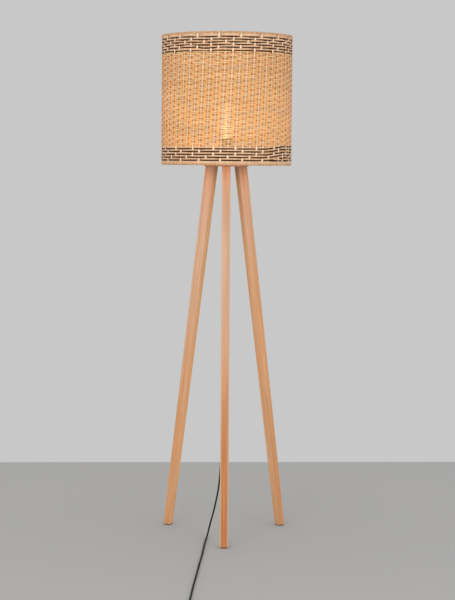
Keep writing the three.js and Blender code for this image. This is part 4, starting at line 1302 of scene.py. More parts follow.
@dataclass
class Stand:
    """Three square tapered legs under a round disc."""

    finishes: Finishes
    turns: dict[str, float] = field(default_factory=lambda: {
        "front": -math.pi / 2, "left": 5 * math.pi / 6, "right": math.pi / 6})
    foot_circle: float = 207.5 * MM
    hub_circle: float = 52 * MM
    height: float = 1147 * MM
    width: float = 26 * MM
    top_depth: float = 33 * MM
    foot_depth: float = 23 * MM
    edge: float = 3 * MM
    end_edge: float = 0.6 * MM
    recess: float = 8 * MM
    recess_radius: float = 5.35 * MM
    bolt_circle: float = 46 * MM

    def circle_at(self, height: float) -> float:
        """Returns how far a leg's centre line is from the axis at a height."""
        return self.foot_circle + (self.hub_circle - self.foot_circle) * height / self.height

    def leg(self, side: str, turn: float) -> None:
        """Builds one leg: a bar whose top is moved in and widened, with rounded edges.

        Args:
            side: The leg's side, as in its node's name.
            turn: Its direction from the axis.
        """
        low, high = (corner.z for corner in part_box(f"leg_{side}"))
        deselect_all()
        bpy.ops.mesh.primitive_cube_add(size=1, location=(self.circle_at(low), 0, (low + high) / 2))
        piece = newest(f"beech_leg_{side}")
        piece.scale = (self.foot_depth, self.width, high - low)
        settle(piece)
        with editing(piece):
            choose(piece, "FACE", lambda place, normal: normal.z > 0.9)
            bpy.ops.transform.translate(value=(self.circle_at(high) - self.circle_at(low), 0, 0))
            bpy.ops.transform.resize(value=(self.top_depth / self.foot_depth, 1, 1),
                                     center_override=(self.circle_at(high), 0, high))
            choose(piece, "EDGE", lambda place, along: abs(along.z) > 0.9)
            bpy.ops.mesh.bevel(offset=self.edge, segments=5)
            choose(piece, "FACE", lambda place, normal: abs(normal.z) > 0.9)
            bpy.ops.mesh.region_to_loop()
            bpy.ops.mesh.bevel(offset=self.end_edge, segments=2)
        self.write_grain(piece)
        smooth(piece, 30)
        stand_at(piece, round_axis(turn))
        dress(piece, self.finishes.legs[side], f"leg_{side}")

    def write_grain(self, piece: bpy.types.Object) -> None:
        """Stores each point's place in the straightened leg, for the grain, and its share of the way to each side,
        which places the legs' painted light.
        """
        grain = piece.data.attributes.new("grain_place", "FLOAT_VECTOR", "POINT")
        share = piece.data.attributes.new("side_share", "FLOAT_VECTOR", "POINT")
        shift = 0.01 * sum(map(ord, piece.name))
        for vertex, place_value, share_value in zip(piece.data.vertices, grain.data, share.data):
            place = vertex.co
            out = place.x - self.circle_at(place.z)
            depth = self.foot_depth + (self.top_depth - self.foot_depth) * place.z / self.height
            place_value.vector = (out + shift, place.y + shift, place.z + shift)
            share_value.vector = (2 * out / depth, 2 * place.y / self.width, place.z / self.height)

    def disc(self) -> None:
        """Builds the disc: rounded rims, and a recess over each leg for its bolt."""
        low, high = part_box("hub_disc")
        radius = outer_radius("hub_disc")
        piece = turned("beech_disc", [(0, low.z), (radius, low.z), (radius, high.z), (0, high.z)], 128)
        for turn in self.turns.values():
            place = AXIS + Vector((self.bolt_circle * math.cos(turn), self.bolt_circle * math.sin(turn), high.z))
            reach = Vector((0, 0, self.recess))
            cut_away(piece, rod("recess_cutter", self.recess_radius, place - reach, place + reach, 32))
        soften(piece, 1.6 * MM, 4)
        smooth(piece, 30)
        dress(piece, self.finishes.disc, "hub_disc")

    def build(self) -> None:
        """Builds the legs and the disc, and dresses the small pieces."""
        for side, turn in self.turns.items():
            self.leg(side, turn)
            dress_nodes(self.finishes.zinc, f"leg_bolt_{side}")
            dress_nodes(self.finishes.brass, f"leg_insert_{side}")
            dress_nodes(self.finishes.disc, f"leg_dowel_{side}")
            dress_nodes(self.finishes.felt, f"foot_pad_{side}")
        self.disc()


# The shade: stakes, wefts, bands, rims and the wires that carry it


def corners_of(mesh: bpy.types.Mesh) -> np.ndarray:
    """Returns the vertex at every corner of a mesh's faces."""
    corners = np.empty(len(mesh.loops), np.int64)
    mesh.loops.foreach_get("vertex_index", corners)
    return corners


def places_of(mesh: bpy.types.Mesh) -> np.ndarray:
    """Returns the vertices' places, one to a row."""
    places = np.empty((len(mesh.vertices), 3), np.float32)
    mesh.vertices.foreach_get("co", places.ravel())
    return places


def write_places(mesh: bpy.types.Mesh, x: np.ndarray, y: np.ndarray, z: np.ndarray) -> None:
    """Moves the vertices to places given axis by axis."""
    mesh.vertices.foreach_set("co", np.stack([x, y, z], 1).astype(np.float32).ravel())


def write_round(mesh: bpy.types.Mesh, radius: np.ndarray, angle: np.ndarray, height: np.ndarray) -> None:
    """Moves the vertices to places round the lamp's axis, whose angles run from the front."""
    write_places(mesh, AXIS.x + radius * np.sin(angle), AXIS.y - radius * np.cos(angle), height)


def write_map(mesh: bpy.types.Mesh, u: np.ndarray, v: np.ndarray) -> None:
    """Writes the strand's own map, corner by corner."""
    layer = mesh.uv_layers[0] if mesh.uv_layers else mesh.uv_layers.new()
    layer.name = "strand"
    layer.data.foreach_set("uv", np.stack([u.ravel(), v.ravel()], 1).astype(np.float32).ravel())


def shift_map(mesh: bpy.types.Mesh, u: float, v: float) -> None:
    """Shifts the strand's own map."""
    values = np.empty(2 * len(mesh.loops), np.float32)
    layer = mesh.uv_layers[0].data
    layer.foreach_get("uv", values)
    values[0::2] += u
    values[1::2] += v
    layer.foreach_set("uv", values)


class Strand(Enum):
    """The strands that run round the shade."""

    PALE = "pale"
    BAND = "band"
    DARK = "dark"


@dataclass(frozen=True)
class Row:
    """One strand round the shade: the height of its middle above the shade's foot, its width and its phase."""

    height: float
    width: float
    phase: int
    strand: Strand
    waver: float = 0.2 * MM
    first: float = -math.inf
    last: float = math.inf
    climbs: bool = True
    woven: bool = True
    kinks: tuple[tuple[float, float, float], ...] = ()


@dataclass
class Weave:
    """The drum's weave: upright stakes, and strands that pass over two stakes and under the third.

    Angles run from the front towards the right. Along a strand, stakes are counted from the one whose mark shows
    in the first dark row.
    """

    finishes: Finishes
    stakes: int = 57
    steps: int = 4
    sides: int = 8
    middle: float = 198.4 * MM
    height: float = 395 * MM
    thickness: float = 1.15 * MM
    flatness: float = 0.72
    weft_swing: float = 1.6 * MM
    stake_thickness: float = 2.4 * MM
    stake_in: float = 0.2 * MM
    stake_out: float = 0.5 * MM
    stake_width: float = 4.5 * MM
    stake_end: float = 2 * MM
    stake_crown: float = 0.2
    stake_map: float = 22 * MM
    stake_columns: int = 4
    rim_depth: float = 7 * MM
    pale_width: float = 4.7 * MM
    band_width: float = 4.9 * MM
    dark_width: float = 3.9 * MM
    field_rows: int = 53
    band_depth: float = 58 * MM
    top_dark: tuple[float, ...] = (16, 24, 32, 39.5, 47.5, 56)
    top_phases: tuple[int, ...] = (0, -1, -2, -1, 0, -1)
    low_dark: tuple[float, ...] = (49, 40.5, 32, 23.5, 15)
    low_phases: tuple[int, ...] = (0, 1, 0, -1, 1)
    front_high: tuple[float, float] = (379 * MM, math.radians(-7.1))
    front_low: tuple[float, float] = (49 * MM, math.radians(-11.4))
    climb: float = 8.4 * MM
    climb_from: float = math.radians(33)
    climb_to: float = math.radians(62)
    fall_from: float = math.radians(170)
    fall_to: float = math.radians(215)
    top_kinks: dict[int, tuple[tuple[float, float, float], ...]] = field(default_factory=lambda: {
        4: ((math.radians(-27.7), math.radians(3.5), 2.6 * MM), (math.radians(-17), math.radians(8), -1.4 * MM)),
        5: ((math.radians(-20), math.radians(12), -1.2 * MM), (math.radians(12), math.radians(14), -0.9 * MM)),
        0: ((math.radians(20), math.radians(20), -0.7 * MM),),
    })
    top_sag: tuple[float, float, float] = (math.radians(-20), math.radians(10), -1.3 * MM)
    tuck: float = 2 * MM
    tick_ease: float = 1.1 * MM
    loose: tuple[tuple[float, float, float], ...] = (
        (57 * MM, 9 * MM, 0.18), (76 * MM, 12 * MM, 0.10), (140 * MM, 45 * MM, 0.06), (305 * MM, 16 * MM, 0.14))
    seed: int = 7

    def __post_init__(self) -> None:
        """Starts the random draws and finds the shade's foot."""
        self.draws = random.Random(self.seed)
        self.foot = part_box("rim_binding_bottom")[0].z

    def lean(self, height: float | np.ndarray) -> float | np.ndarray:
        """Returns the angle of stake 0 at a height above the shade's foot."""
        (high, at_high), (low, at_low) = self.front_high, self.front_low
        return at_low + (at_high - at_low) * (height - low) / (high - low)

    def climb_at(self, angle: np.ndarray, height: float) -> np.ndarray:
        """Returns how far the strands have climbed at angles from 0 to a turn, less and less above the low band."""
        angle = np.mod(angle, TURN)
        rise = smoothstep(angle, self.climb_from, self.climb_to) - smoothstep(angle, self.fall_from, self.fall_to)
        low, high = self.band_depth, self.height - self.band_depth
        return self.climb * (1 - min(max((height - low) / (high - low), 0), 1)) * rise

    def rows(self) -> list[Row]:
        """Lists every strand round the shade, from the top down."""
        made: list[Row] = []
        pair = (self.band_width + self.dark_width) / 2
        for index, (depth, phase) in enumerate(zip(self.top_dark, self.top_phases)):
            dark = self.height - depth * MM
            waver = (0.2 + 0.1 * index) * MM
            to_rim = depth * MM - self.rim_depth - self.dark_width / 2 - self.band_width
            widen = to_rim + self.tuck if index == 0 else 0
            kinks = (self.top_sag, *self.top_kinks.get(index, ()))
            made.append(Row(dark + pair + widen / 2, self.band_width + widen, phase, Strand.BAND, waver, climbs=False,
                            kinks=kinks))
            made.append(Row(dark, self.dark_width, phase, Strand.DARK, waver, climbs=False, kinks=kinks))
        top = self.height - self.top_dark[-1] * MM - self.dark_width / 2
        low = self.low_dark[0] * MM + self.dark_width / 2 + self.band_width
        pitch = (top - low) / self.field_rows
        for index in range(self.field_rows):
            height = top - pitch * (index + 0.5)
            slack = sum(share * math.exp(-((height - at) / spread) ** 2) for at, spread, share in self.loose)
            made.append(Row(height, self.pale_width * (1.03 - slack), self.field_rows - index, Strand.PALE))
        for above, phase in zip(self.low_dark, self.low_phases):
            made.append(Row(above * MM + pair, self.band_width, phase, Strand.BAND))
            made.append(Row(above * MM, self.dark_width, phase, Strand.DARK))
        foot_top = self.low_dark[-1] * MM - self.dark_width / 2
        foot_width = foot_top - self.rim_depth + self.tuck
        made.append(Row(foot_top - foot_width / 2, foot_width, 0, Strand.BAND, climbs=False, woven=False))
        return made

    def extra_rows(self) -> list[Row]:
        """Lists the two strands that start where the others climb: they run part of the way round."""
        pair = (self.band_width + self.dark_width) / 2
        last = self.low_dark[-1] * MM
        start, end = math.radians(44), math.radians(192)
        return [
            Row(last + pair, self.band_width, -1, Strand.BAND, 0.1 * MM, start, end, climbs=False),
            Row(last, self.dark_width, -1, Strand.DARK, 0.1 * MM, start - math.radians(4), end, climbs=False),
        ]

    def swing(self, along: np.ndarray) -> np.ndarray:
        """Returns how far out a strand lies, from -1 to 1, at stakes passed since it last went under one."""
        outs = np.array([-1.0, 0.05, 1.0, 0.72, 1.0, 0.05, -1.0])
        halves = np.mod(along, 3.0) * 2
        index = np.minimum(halves.astype(int), 5)
        share = smoothstep(halves - index, 0, 1)
        return outs[index] * (1 - share) + outs[index + 1] * share

    def ring(self) -> bpy.types.Object:
        """Adds the plain ring that every strand is a copy of."""
        deselect_all()
        bpy.ops.mesh.primitive_torus_add(
            major_segments=self.stakes * self.steps, minor_segments=self.sides, major_radius=self.middle,
            minor_radius=self.thickness)
        bpy.ops.object.shade_smooth()
        return newest("strand_ring")

    def strand(self, base: bpy.types.Object, row: Row, number: int) -> bpy.types.Object:
        """Copies the ring and shapes it into one strand.

        Args:
            base: The plain ring.
            row: What the strand is.
            number: Its number, which sets its own tone and waver.

        Returns:
            The strand.
        """
        piece = copy_of(base)
        count = self.stakes * self.steps
        step = np.repeat(np.arange(count), self.sides)
        side = np.tile(np.arange(self.sides), count)
        turn = TURN * side / self.sides
        along = step / self.steps - row.phase
        angle = self.lean(row.height) + TURN * step / count
        swing = self.swing(along) if row.woven else np.full(count * self.sides, 0.9)
        dive = np.clip(-swing, 0, 1)
        out, rise = (np.sign(part) * np.abs(part) ** self.flatness for part in (np.cos(turn), np.sin(turn)))
        waver = sum(
            np.sin(angle * waves + self.draws.uniform(0, TURN)) * self.draws.uniform(0.2, 0.5)
            for waves in (2, 5, 9, 17))
        dark = row.strand is Strand.DARK
        thick = self.thickness * (0.95 if dark else 1.0)
        width = row.width * (1 - (0.4 if dark else 0.12) * dive)
        radius = self.middle + self.weft_swing * swing + out * thick / 2
        height = self.foot + row.height + row.waver * waver + rise * width / 2
        if row.climbs:
            height = height + self.climb_at(angle, row.height)
        for at, spread, lift in row.kinks:
            off = np.mod(angle - at + math.pi, TURN) - math.pi
            height = height + lift * np.exp(-(off / spread) ** 2)
        write_round(piece.data, radius, angle, height)
        self.map_strand(piece, row, number)
        piece.data.update()
        if row.first > -math.inf:
            self.shorten(piece, row)
        return piece

    def map_strand(self, piece: bpy.types.Object, row: Row, number: int) -> None:
        """Writes a strand's own map: stakes passed along it, and turns round it above its number."""
        count = self.stakes * self.steps
        corners = corners_of(piece.data).reshape(-1, 4)
        step, side = corners // self.sides, corners % self.sides
        step = np.where((step == 0) & (step.max(1, keepdims=True) == count - 1), count, step)
        side = np.where((side == 0) & (side.max(1, keepdims=True) == self.sides - 1), self.sides, side)
        write_map(piece.data, step / self.steps - row.phase, number + 0.02 + 0.96 * side / self.sides)

    def shorten(self, piece: bpy.types.Object, row: Row) -> None:
        """Cuts a strand to the stretch between its first and its last angle and closes its ends."""
        mesh = bmesh.new()
        mesh.from_mesh(piece.data)
        gone = []
        for face in mesh.faces:
            place = face.calc_center_median() - AXIS
            angle = math.atan2(place.x, -place.y) % TURN
            if not row.first <= angle <= row.last:
                gone.append(face)
        bmesh.ops.delete(mesh, geom=gone, context="FACES")
        bmesh.ops.holes_fill(mesh, edges=[edge for edge in mesh.edges if edge.is_boundary], sides=0)
        mesh.to_mesh(piece.data)
        mesh.free()

    def wefts(self) -> None:
        """Builds every strand round the shade, in four pieces."""
        base = self.ring()
        looks = {"weft_high": self.finishes.weft, "weft_low": self.finishes.weft, "band": self.finishes.band,
                 "dark": self.finishes.dark}
        strands: dict[str, list[bpy.types.Object]] = {key: [] for key in looks}
        for number, row in enumerate([*self.rows(), *self.extra_rows()]):
            key = row.strand.value
            if row.strand is Strand.PALE:
                key = "weft_high" if row.height > self.height / 2 else "weft_low"
            strands[key].append(self.strand(base, row, number))
        bpy.data.objects.remove(base)
        for key, pieces in strands.items():
            nodes = ("woven_wall",) if key == "weft_high" else ()
            dress(join(pieces, f"cane_{key}"), looks[key], *nodes)

    def stake_shape(self, phase: int) -> bpy.types.Object:
        """Builds the stake whose marks show in the rows of one phase: a flat strip that bends out there.

        Args:
            phase: The remainder of the stake's number by three.

        Returns:
            The stake, at the angle of stake 0, with its own map.
        """
        low, high = self.stake_end, self.height - self.stake_end
        knots = []
        for row in self.rows():
            shows = row.woven and (phase - row.phase) % 3 == 0
            half = max(row.width / 2 - self.tick_ease, 0.2 * MM)
            for height in (row.height - half, row.height + half):
                knots.append((height, self.stake_out if shows else -self.stake_in))
        knots.sort()
        heights = np.array([low, *(height for height, _ in knots), high])
        outs = np.array([0.0, *(out for _, out in knots), 0.0])
        count = 2 * len(knots)
        levels = np.linspace(low, high, count + 1)
        deselect_all()
        bpy.ops.mesh.primitive_grid_add(x_subdivisions=self.stake_columns, y_subdivisions=count, size=1)
        piece = newest("stake")
        mesh = piece.data
        across, up, _ = places_of(mesh).T
        height = np.interp((up + 0.5) * count, np.arange(count + 1), levels)
        crown = self.stake_thickness * self.stake_crown * (1 - (2 * across) ** 2)
        radius = self.middle + np.interp(height, heights, outs) + crown
        write_round(mesh, radius, self.lean(height) + across * self.stake_width / self.middle, self.foot + height)
        corners = corners_of(mesh)
        write_map(mesh, height[corners] / self.stake_map, 0.5 + 0.4 * across[corners])
        mesh.update()
        apply_modifier(piece, "SOLIDIFY", thickness=self.stake_thickness, offset=0.0)
        smooth(piece, 60)
        return piece

    def add_stakes(self) -> None:
        """Builds the stakes: three shapes, copied round the drum."""
        shapes = [self.stake_shape(phase) for phase in range(3)]
        pieces = []
        for stake in range(self.stakes):
            piece = copy_of(shapes[stake % 3])
            piece.data.transform(round_axis(TURN * stake / self.stakes) @ Matrix.Translation(-AXIS))
            shift_map(piece.data, 0, stake)
            pieces.append(piece)
        for shape in shapes:
            bpy.data.objects.remove(shape)
        dress(join(pieces, "cane_stakes"), self.finishes.stake)

    def build(self) -> None:
        """Builds the weave."""
        self.wefts()
        self.add_stakes()


@dataclass
class Rims:
    """The two rims: flat peel wound round the wire in each."""

    finishes: Finishes
    wraps: int = 250
    peel: float = 0.75 * MM
    peel_width: float = 4.9 * MM
    slant: float = math.radians(24)
    around: int = 12
    across: int = 5
    half_depth: float = 2.65 * MM
    inset: float = 2.7 * MM
    squareness: float = 0.55

    def wrap(self, half_height: float) -> bpy.types.Object:
        """Returns one turn of the peel round a rim of a height, about the origin, its rim running along X."""
        deselect_all()
        bpy.ops.mesh.primitive_torus_add(
            major_segments=self.around, minor_segments=self.across, major_radius=1.0, minor_radius=0.2)
        piece = newest("wrap")
        mesh = piece.data
        index = np.arange(len(mesh.vertices))
        major, minor = index // self.across, index % self.across
        angle, turn = TURN * major / self.around, TURN * minor / self.across
        out = np.cos(turn) * self.peel / 2
        side = np.sin(turn) * self.peel_width / 2
        box = np.maximum(np.abs(np.cos(angle)), np.abs(np.sin(angle))) ** self.squareness
        y = np.cos(angle) * (self.half_depth - self.peel / 2 + out) / box
        z = np.sin(angle) * (half_height - self.peel / 2 + out) / box
        x = side + np.tan(self.slant) * z * np.sign(y + 1e-9) * 0.5
        write_places(mesh, x, np.clip(y, -self.half_depth, self.half_depth), np.clip(z, -half_height, half_height))
        corners = corners_of(mesh)
        write_map(mesh, major[corners] * 0.12, 0.1 + 0.8 * minor[corners] / self.across)
        mesh.update()
        pick(piece)
        bpy.ops.object.shade_smooth()
        return piece

    def rim(self, end: str) -> None:
        """Winds the rim at one end of the shade, whose place and size the frame's binding gives."""
        node, name = f"rim_binding_{end}", f"cane_rim_{end}"
        low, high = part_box(node)
        shape = self.wrap((high.z - low.z) / 2 - 0.05 * MM)
        place = Matrix.Translation((0, self.inset - outer_radius(node), (low.z + high.z) / 2))
        pieces = []
        draws = random.Random(len(name))
        for number in range(self.wraps):
            piece = copy_of(shape)
            scale = Matrix.Diagonal((1 + draws.uniform(-0.05, 0.05), 1 - draws.uniform(0, 0.02), 1.0, 1.0))
            tilt = Matrix.Rotation(draws.uniform(-0.03, 0.03), 4, "Y")
            piece.data.transform(round_axis(TURN * number / self.wraps) @ place @ tilt @ scale)
            shift_map(piece.data, draws.uniform(0, 30), number)
            pieces.append(piece)
        bpy.data.objects.remove(shape)
        dress(join(pieces, name), self.finishes.binding, node)

    def build(self) -> None:
        """Winds both rims."""
        self.rim("top")
        self.rim("bottom")


@dataclass
class Carrier:
    """What carries the shade: the fitter on the holder and its three spokes."""

    finishes: Finishes
    spoke_radius: float = 2 * MM
    bore: float = 20.5 * MM

    def build(self) -> None:
        """Builds the fitter and the spokes."""
        low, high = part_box("fitter_ring")
        fitter = turned("fitter_plate", ring_outline(self.bore, outer_radius("fitter_ring"), low.z, high.z), 96)
        soften(fitter, 0.4 * MM)
        smooth(fitter)
        dress(fitter, self.finishes.enamel, "fitter_ring")
        back_low, back_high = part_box("spoke_back")
        start = Vector((back_low.y + self.spoke_radius - AXIS.y - 1 * MM, 0, back_high.z - self.spoke_radius))
        end = Vector((back_high.y - AXIS.y - 0.4 * MM, 0, back_low.z + self.spoke_radius))
        for side, turn in (("back", math.pi / 2), ("left", -5 * math.pi / 6), ("right", -math.pi / 6)):
            piece = rod(f"carrier_spoke_{side}", self.spoke_radius * 0.98, start, end, 24)
            soften(piece, 0.5 * MM)
            smooth(piece)
            stand_at(piece, round_axis(turn))
            dress(piece, self.finishes.enamel, f"spoke_{side}")
        dress_nodes(self.finishes.enamel, "rim_wire_top", "rim_wire_bottom")


# The lamp holder, the fittings and the bulb


@dataclass
class Holder:
    """The lamp holder with its two ring nuts, and what clamps it to the disc."""

    finishes: Finishes
    radius: float = 20 * MM
    bore: float = 5.4 * MM
    inner: float = 18.2 * MM
    cap_top: float = 20 * MM
    shell_foot: float = 20.3 * MM
    shell_top: float = 60 * MM
    ridge_pitch: float = 2 * MM
    ridge_depth: float = 0.5 * MM
    nut_bore: float = 20.5 * MM
    grip_shoulder: float = 13 * MM
    grip_ribs: int = 6
    grip_margin: float = 0.4 * MM

    def __post_init__(self) -> None:
        """Finds the disc's top, which the holder's heights start from."""
        self.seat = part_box("hub_disc")[1].z

    def case(self, name: str, outline: Outline, sides: int, grip_depth: float, node: str) -> None:
        """Turns a black piece of the holder.

        Args:
            name: Its name.
            outline: Its outline above the disc.
            sides: Its facets.
            grip_depth: How deep its finger grips are, or 0 where it has none.
            node: The frame's node that it stands for.
        """
        piece = turned(name, [(radius, self.seat + height) for radius, height in outline], sides)
        if grip_depth:
            knurl(piece, sides, grip_depth, self.grip_margin)
        smooth(piece, 25)
        dress(piece, self.finishes.plastic, node)

    def cap(self) -> None:
        """Builds the cap: a neck, a sloping shoulder and a skirt with finger grips."""
        outline = [(self.bore, 0.3 * MM), (10 * MM, 0.3 * MM), (10 * MM, 4 * MM), (12 * MM, 6.4 * MM),
                   (self.radius, 14 * MM), (self.radius, self.cap_top), (16.8 * MM, self.cap_top),
                   (16.8 * MM, 14.3 * MM), (10 * MM, 10 * MM), (self.bore, 10 * MM), (self.bore, 0.3 * MM)]
        self.case("holder_cap_case", outline, 64, 0.35 * MM, "holder_cap")

    def shell(self) -> None:
        """Builds the shell: a threaded stretch for the ring nuts and a lip that turns in at its mouth."""
        outline = [(self.inner, self.shell_foot), (self.radius, self.shell_foot)]
        height = 22 * MM
        while height < 50 * MM:
            outline += [(self.radius, height), (self.radius - self.ridge_depth, height + self.ridge_pitch * 0.4),
                        (self.radius - self.ridge_depth, height + self.ridge_pitch * 0.6)]
            height += self.ridge_pitch
        outline += [(self.radius, height), (self.radius, self.shell_top - 0.8 * MM),
                    (self.radius - 0.8 * MM, self.shell_top), (15.9 * MM, self.shell_top),
                    (15.5 * MM, self.shell_top - 0.5 * MM), (15.5 * MM, 58 * MM), (self.inner, 58 * MM),
                    (self.inner, self.shell_foot)]
        self.case("holder_shell_case", outline, 64, 0, "holder_shell")

    def ring_nut(self, node: str) -> None:
        """Builds the ring nut that a frame's node gives, with finger grips round it."""
        low, high = (corner.z - self.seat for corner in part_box(node))
        outline = ring_outline(self.nut_bore, outer_radius(node), low, high, 1 * MM)
        self.case(node.replace("ring_nut", "holder_ring"), outline, 48, 0.6 * MM, node)

    def fittings(self) -> None:
        """Builds the washer, the nut and the grip under the disc."""
        low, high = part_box("nipple_washer")
        washer = turned("fitting_washer", ring_outline(self.bore, outer_radius("nipple_washer"), low.z, high.z), 64)
        soften(washer, 0.3 * MM)
        smooth(washer)
        dress(washer, self.finishes.zinc, "nipple_washer")
        low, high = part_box("nipple_nut")
        spread = (high - low) / 2
        reach = max(spread.x, spread.y)
        turn = 0.0 if spread.x > spread.y else math.pi / 6
        corners = [(reach * math.cos(turn + TURN * step / 6), AXIS.y + reach * math.sin(turn + TURN * step / 6))
                   for step in range(6)]
        nut = plate("fitting_nut", corners, low.z, high.z)
        middle = Vector((AXIS.x, AXIS.y, low.z))
        cut_away(nut, rod("nut_cutter", self.bore, middle - Vector((0, 0, MM)), middle + Vector((0, 0, 6 * MM)), 32))
        soften(nut, 0.5 * MM)
        smooth(nut)
        dress(nut, self.finishes.zinc, "nipple_nut")
        low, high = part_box("cord_grip")
        outer = outer_radius("cord_grip")
        shoulder = high.z - self.grip_shoulder
        count = 2 * self.grip_ribs
        radii = [(3.6 + 3.4 * step / count) * MM - (0.6 * MM if step % 2 else 0) for step in range(count)]
        outline = [(0, low.z), *rib_outline(radii, low.z, (shoulder - low.z) / count), (7 * MM, shoulder),
                   (outer - 0.8 * MM, shoulder), (outer, shoulder + 0.8 * MM), (outer, high.z - 0.6 * MM),
                   (outer - 0.6 * MM, high.z), (self.bore, high.z), (self.bore, high.z - 10.3 * MM),
                   (0, high.z - 10.3 * MM)]
        grip = turned("lead_grip", outline, 48)
        smooth(grip, 30)
        dress(grip, self.finishes.plastic, "cord_grip")

    def build(self) -> None:
        """Builds the holder and the fittings, and dresses the small pieces inside."""
        self.cap()
        self.shell()
        self.ring_nut("ring_nut_lower")
        self.ring_nut("ring_nut_upper")
        self.fittings()
        dress_nodes(self.finishes.zinc, "threaded_nipple")
        dress_nodes(self.finishes.brass, "terminal_screw_live", "terminal_screw_neutral", "screw_shell",
                    "centre_contact")
        dress_nodes(self.finishes.ceramic, "holder_core")


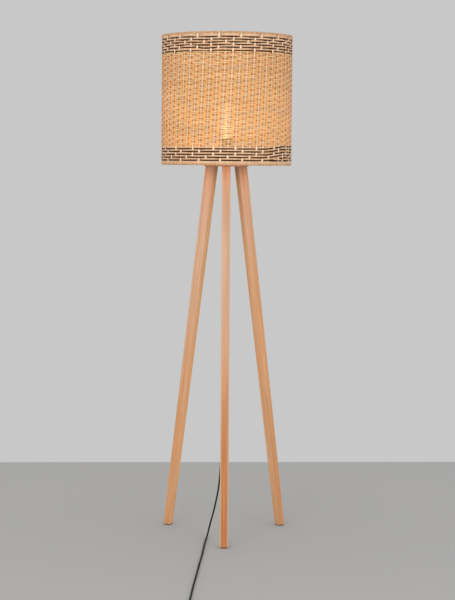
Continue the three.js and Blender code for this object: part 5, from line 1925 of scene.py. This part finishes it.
@dataclass
class Bulb:
    """The lit bulb, from its contact up: insulator, threaded cap, stem, glowing cage and clear envelope."""

    finishes: Finishes
    light_power: float = 2.0
    light_radius: float = 18 * MM
    light_colour: Colour = (1.0, 0.72, 0.42)
    radius: float = 32 * MM
    wall: float = 0.8 * MM
    neck_radius: float = 11.4 * MM
    neck_foot: float = 20 * MM
    shoulder: float = 28.3 * MM
    crown: float = 140 * MM
    swell: tuple[tuple[float, float], ...] = (
        (0, 0.41), (0.06, 0.44), (0.16, 0.55), (0.28, 0.71), (0.4, 0.86), (0.51, 0.96), (0.6, 1), (0.69, 0.985),
        (0.78, 0.9), (0.86, 0.74), (0.925, 0.54), (0.97, 0.33), (0.993, 0.15), (1, 0))
    cage_radius: float = 1.7 * MM
    cage_legs: int = 6
    cage_circles: tuple[float, float] = (10.5 * MM, 8.5 * MM)
    cage_heights: tuple[float, float] = (50 * MM, 118 * MM)
    cage_start: float = 2.8 * MM

    def __post_init__(self) -> None:
        """Finds the bulb's foot."""
        self.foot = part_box("bulb_contact")[0].z

    def raised(self, outline: Outline) -> Outline:
        """Returns an outline given in millimetres above the bulb's foot at its place in the lamp."""
        return [(radius * MM, self.foot + height * MM) for radius, height in outline]

    def dress_bulb(self, piece: bpy.types.Object, look: Look, node: str) -> None:
        """Dresses a piece that turns with the bulb, and lets the light inside through it."""
        dress(piece, look, node, body=BULB_BODY)
        piece.visible_shadow = False

    def envelope(self) -> None:
        """Builds the glass: its side is one smooth curve, and its wall is even."""
        span = self.crown - self.shoulder
        knots = [Vector((share * self.radius, 0, self.shoulder + level * span)) for level, share in self.swell]
        side = [(point.x, point.z) for point in smooth_route(knots, 4)]
        outline = [(self.neck_radius, self.neck_foot), (self.neck_radius, self.shoulder - 2 * MM), *side[:-1],
                   (0, self.crown)]
        piece = turned("bulb_envelope", [(radius, self.foot + height) for radius, height in outline], 72)
        open_end(piece, self.foot + self.neck_foot)
        apply_modifier(piece, "SOLIDIFY", thickness=self.wall, offset=-1.0)
        smooth(piece, 60)
        self.dress_bulb(piece, self.finishes.glass, "bulb_glass")

    def stem(self) -> None:
        """Builds the glass stem: a flare in the neck, a rod and two buttons with soft edges."""
        outline = [(0, 20), (10.3, 20), (7.2, 26), (4.8, 31), (4, 34), (2.6, 40), (1.9, 45), (1.6, 48), (2.3, 48.5),
                   (2.6, 49.2), (2.6, 50.8), (2.3, 51.5), (1.6, 52), (1.6, 116), (2.3, 116.5), (2.6, 117.2),
                   (2.6, 118.8), (2.3, 119.5), (1.4, 119.9), (0, 120)]
        piece = turned("bulb_stem_rod", self.raised(outline), 32)
        smooth(piece, 50)
        self.dress_bulb(piece, self.finishes.stem, "bulb_stem")

    def cage(self) -> None:
        """Builds the glowing cage: bars that run up and down round the stem, with a short arm to it at each end."""
        low, high = self.cage_heights
        middle = Vector((AXIS.x, AXIS.y, self.foot))
        corners = []
        for step in range(self.cage_legs + 1):
            angle = TURN * step / (self.cage_legs + 1)
            circle, height = (self.cage_circles[1], high) if step % 2 else (self.cage_circles[0], low)
            corners.append(middle + Vector((circle * math.cos(angle), circle * math.sin(angle), height)))
        pieces = []
        for number, (start, end) in enumerate(zip(corners, corners[1:])):
            bar = rod(f"cage_bar_{number}", self.cage_radius, start, end, 12)
            soften(bar, 0.5 * MM)
            pieces.append(bar)
        for corner in (corners[0], corners[-1]):
            out = Vector((corner.x - middle.x, corner.y - middle.y, 0)).normalized()
            inner = Vector((middle.x, middle.y, corner.z)) + out * (self.cage_start - 0.6 * MM)
            pieces.append(rod("cage_arm", 0.5 * MM, inner, corner, 8))
        piece = join(pieces, "bulb_cage")
        smooth(piece, 50)
        self.dress_bulb(piece, self.finishes.filament, "bulb_filament")

    def cap(self) -> None:
        """Builds the rolled cap with its rounded thread, the cone under it and the contact."""
        low, high, bore, root, crest = 7.2, 28, 11.8, 12.35, 13.1
        waves, steps = 5, 6
        outline = [(bore, low)]
        for step in range(waves * steps + 1):
            swing = 0.5 - 0.5 * math.cos(TURN * step / steps)
            outline.append((root + (crest - root) * swing, low + 0.8 + (high - low - 1.6) * step / (waves * steps)))
        outline += [(root, high), (bore, high), (bore, low)]
        shell = turned("bulb_cap_shell", self.raised(outline), 64)
        smooth(shell, 60)
        dress(shell, self.finishes.cap, "bulb_cap", body=BULB_BODY)
        cone = turned("bulb_cone", self.raised([(0, 2.3), (5.5, 2.3), (11.2, 6.9), (0, 6.9)]), 48)
        soften(cone, 0.3 * MM)
        smooth(cone)
        dress(cone, self.finishes.plastic, "bulb_insulator", body=BULB_BODY)
        outline = [(0, 0), (2.4, 0), (3.6, 0.25), (4.4, 0.7), (4.6, 1.1), (4.6, 2), (0, 2)]
        tip = turned("bulb_tip", self.raised(outline), 32)
        smooth(tip, 50)
        dress(tip, self.finishes.cap, "bulb_contact", body=BULB_BODY)

    def add_light(self) -> None:
        """Adds the light inside the glass."""
        data = bpy.data.lights.new("bulb_light", "POINT")
        data.energy = self.light_power
        data.color = self.light_colour
        data.shadow_soft_size = self.light_radius
        light = link("bulb_light", data)
        light.location = centre_of("bulb_filament")
        light.visible_camera = light.visible_glossy = light.visible_transmission = False

    def build(self) -> None:
        """Builds the bulb's pieces and adds its light."""
        self.envelope()
        self.stem()
        self.cage()
        self.cap()
        self.add_light()


def main() -> None:
    """Builds the studio and the lamp, piece by piece."""
    logging.basicConfig(level=logging.INFO, format="%(name)s: %(message)s")
    finishes = Finishes()
    studio = Studio()
    studio.add_camera()
    for part in (Lead(finishes), studio, Stand(finishes), Weave(finishes), Rims(finishes), Carrier(finishes),
                 Holder(finishes), Bulb(finishes)):
        part.build()


if __name__ == "__main__":
    main()
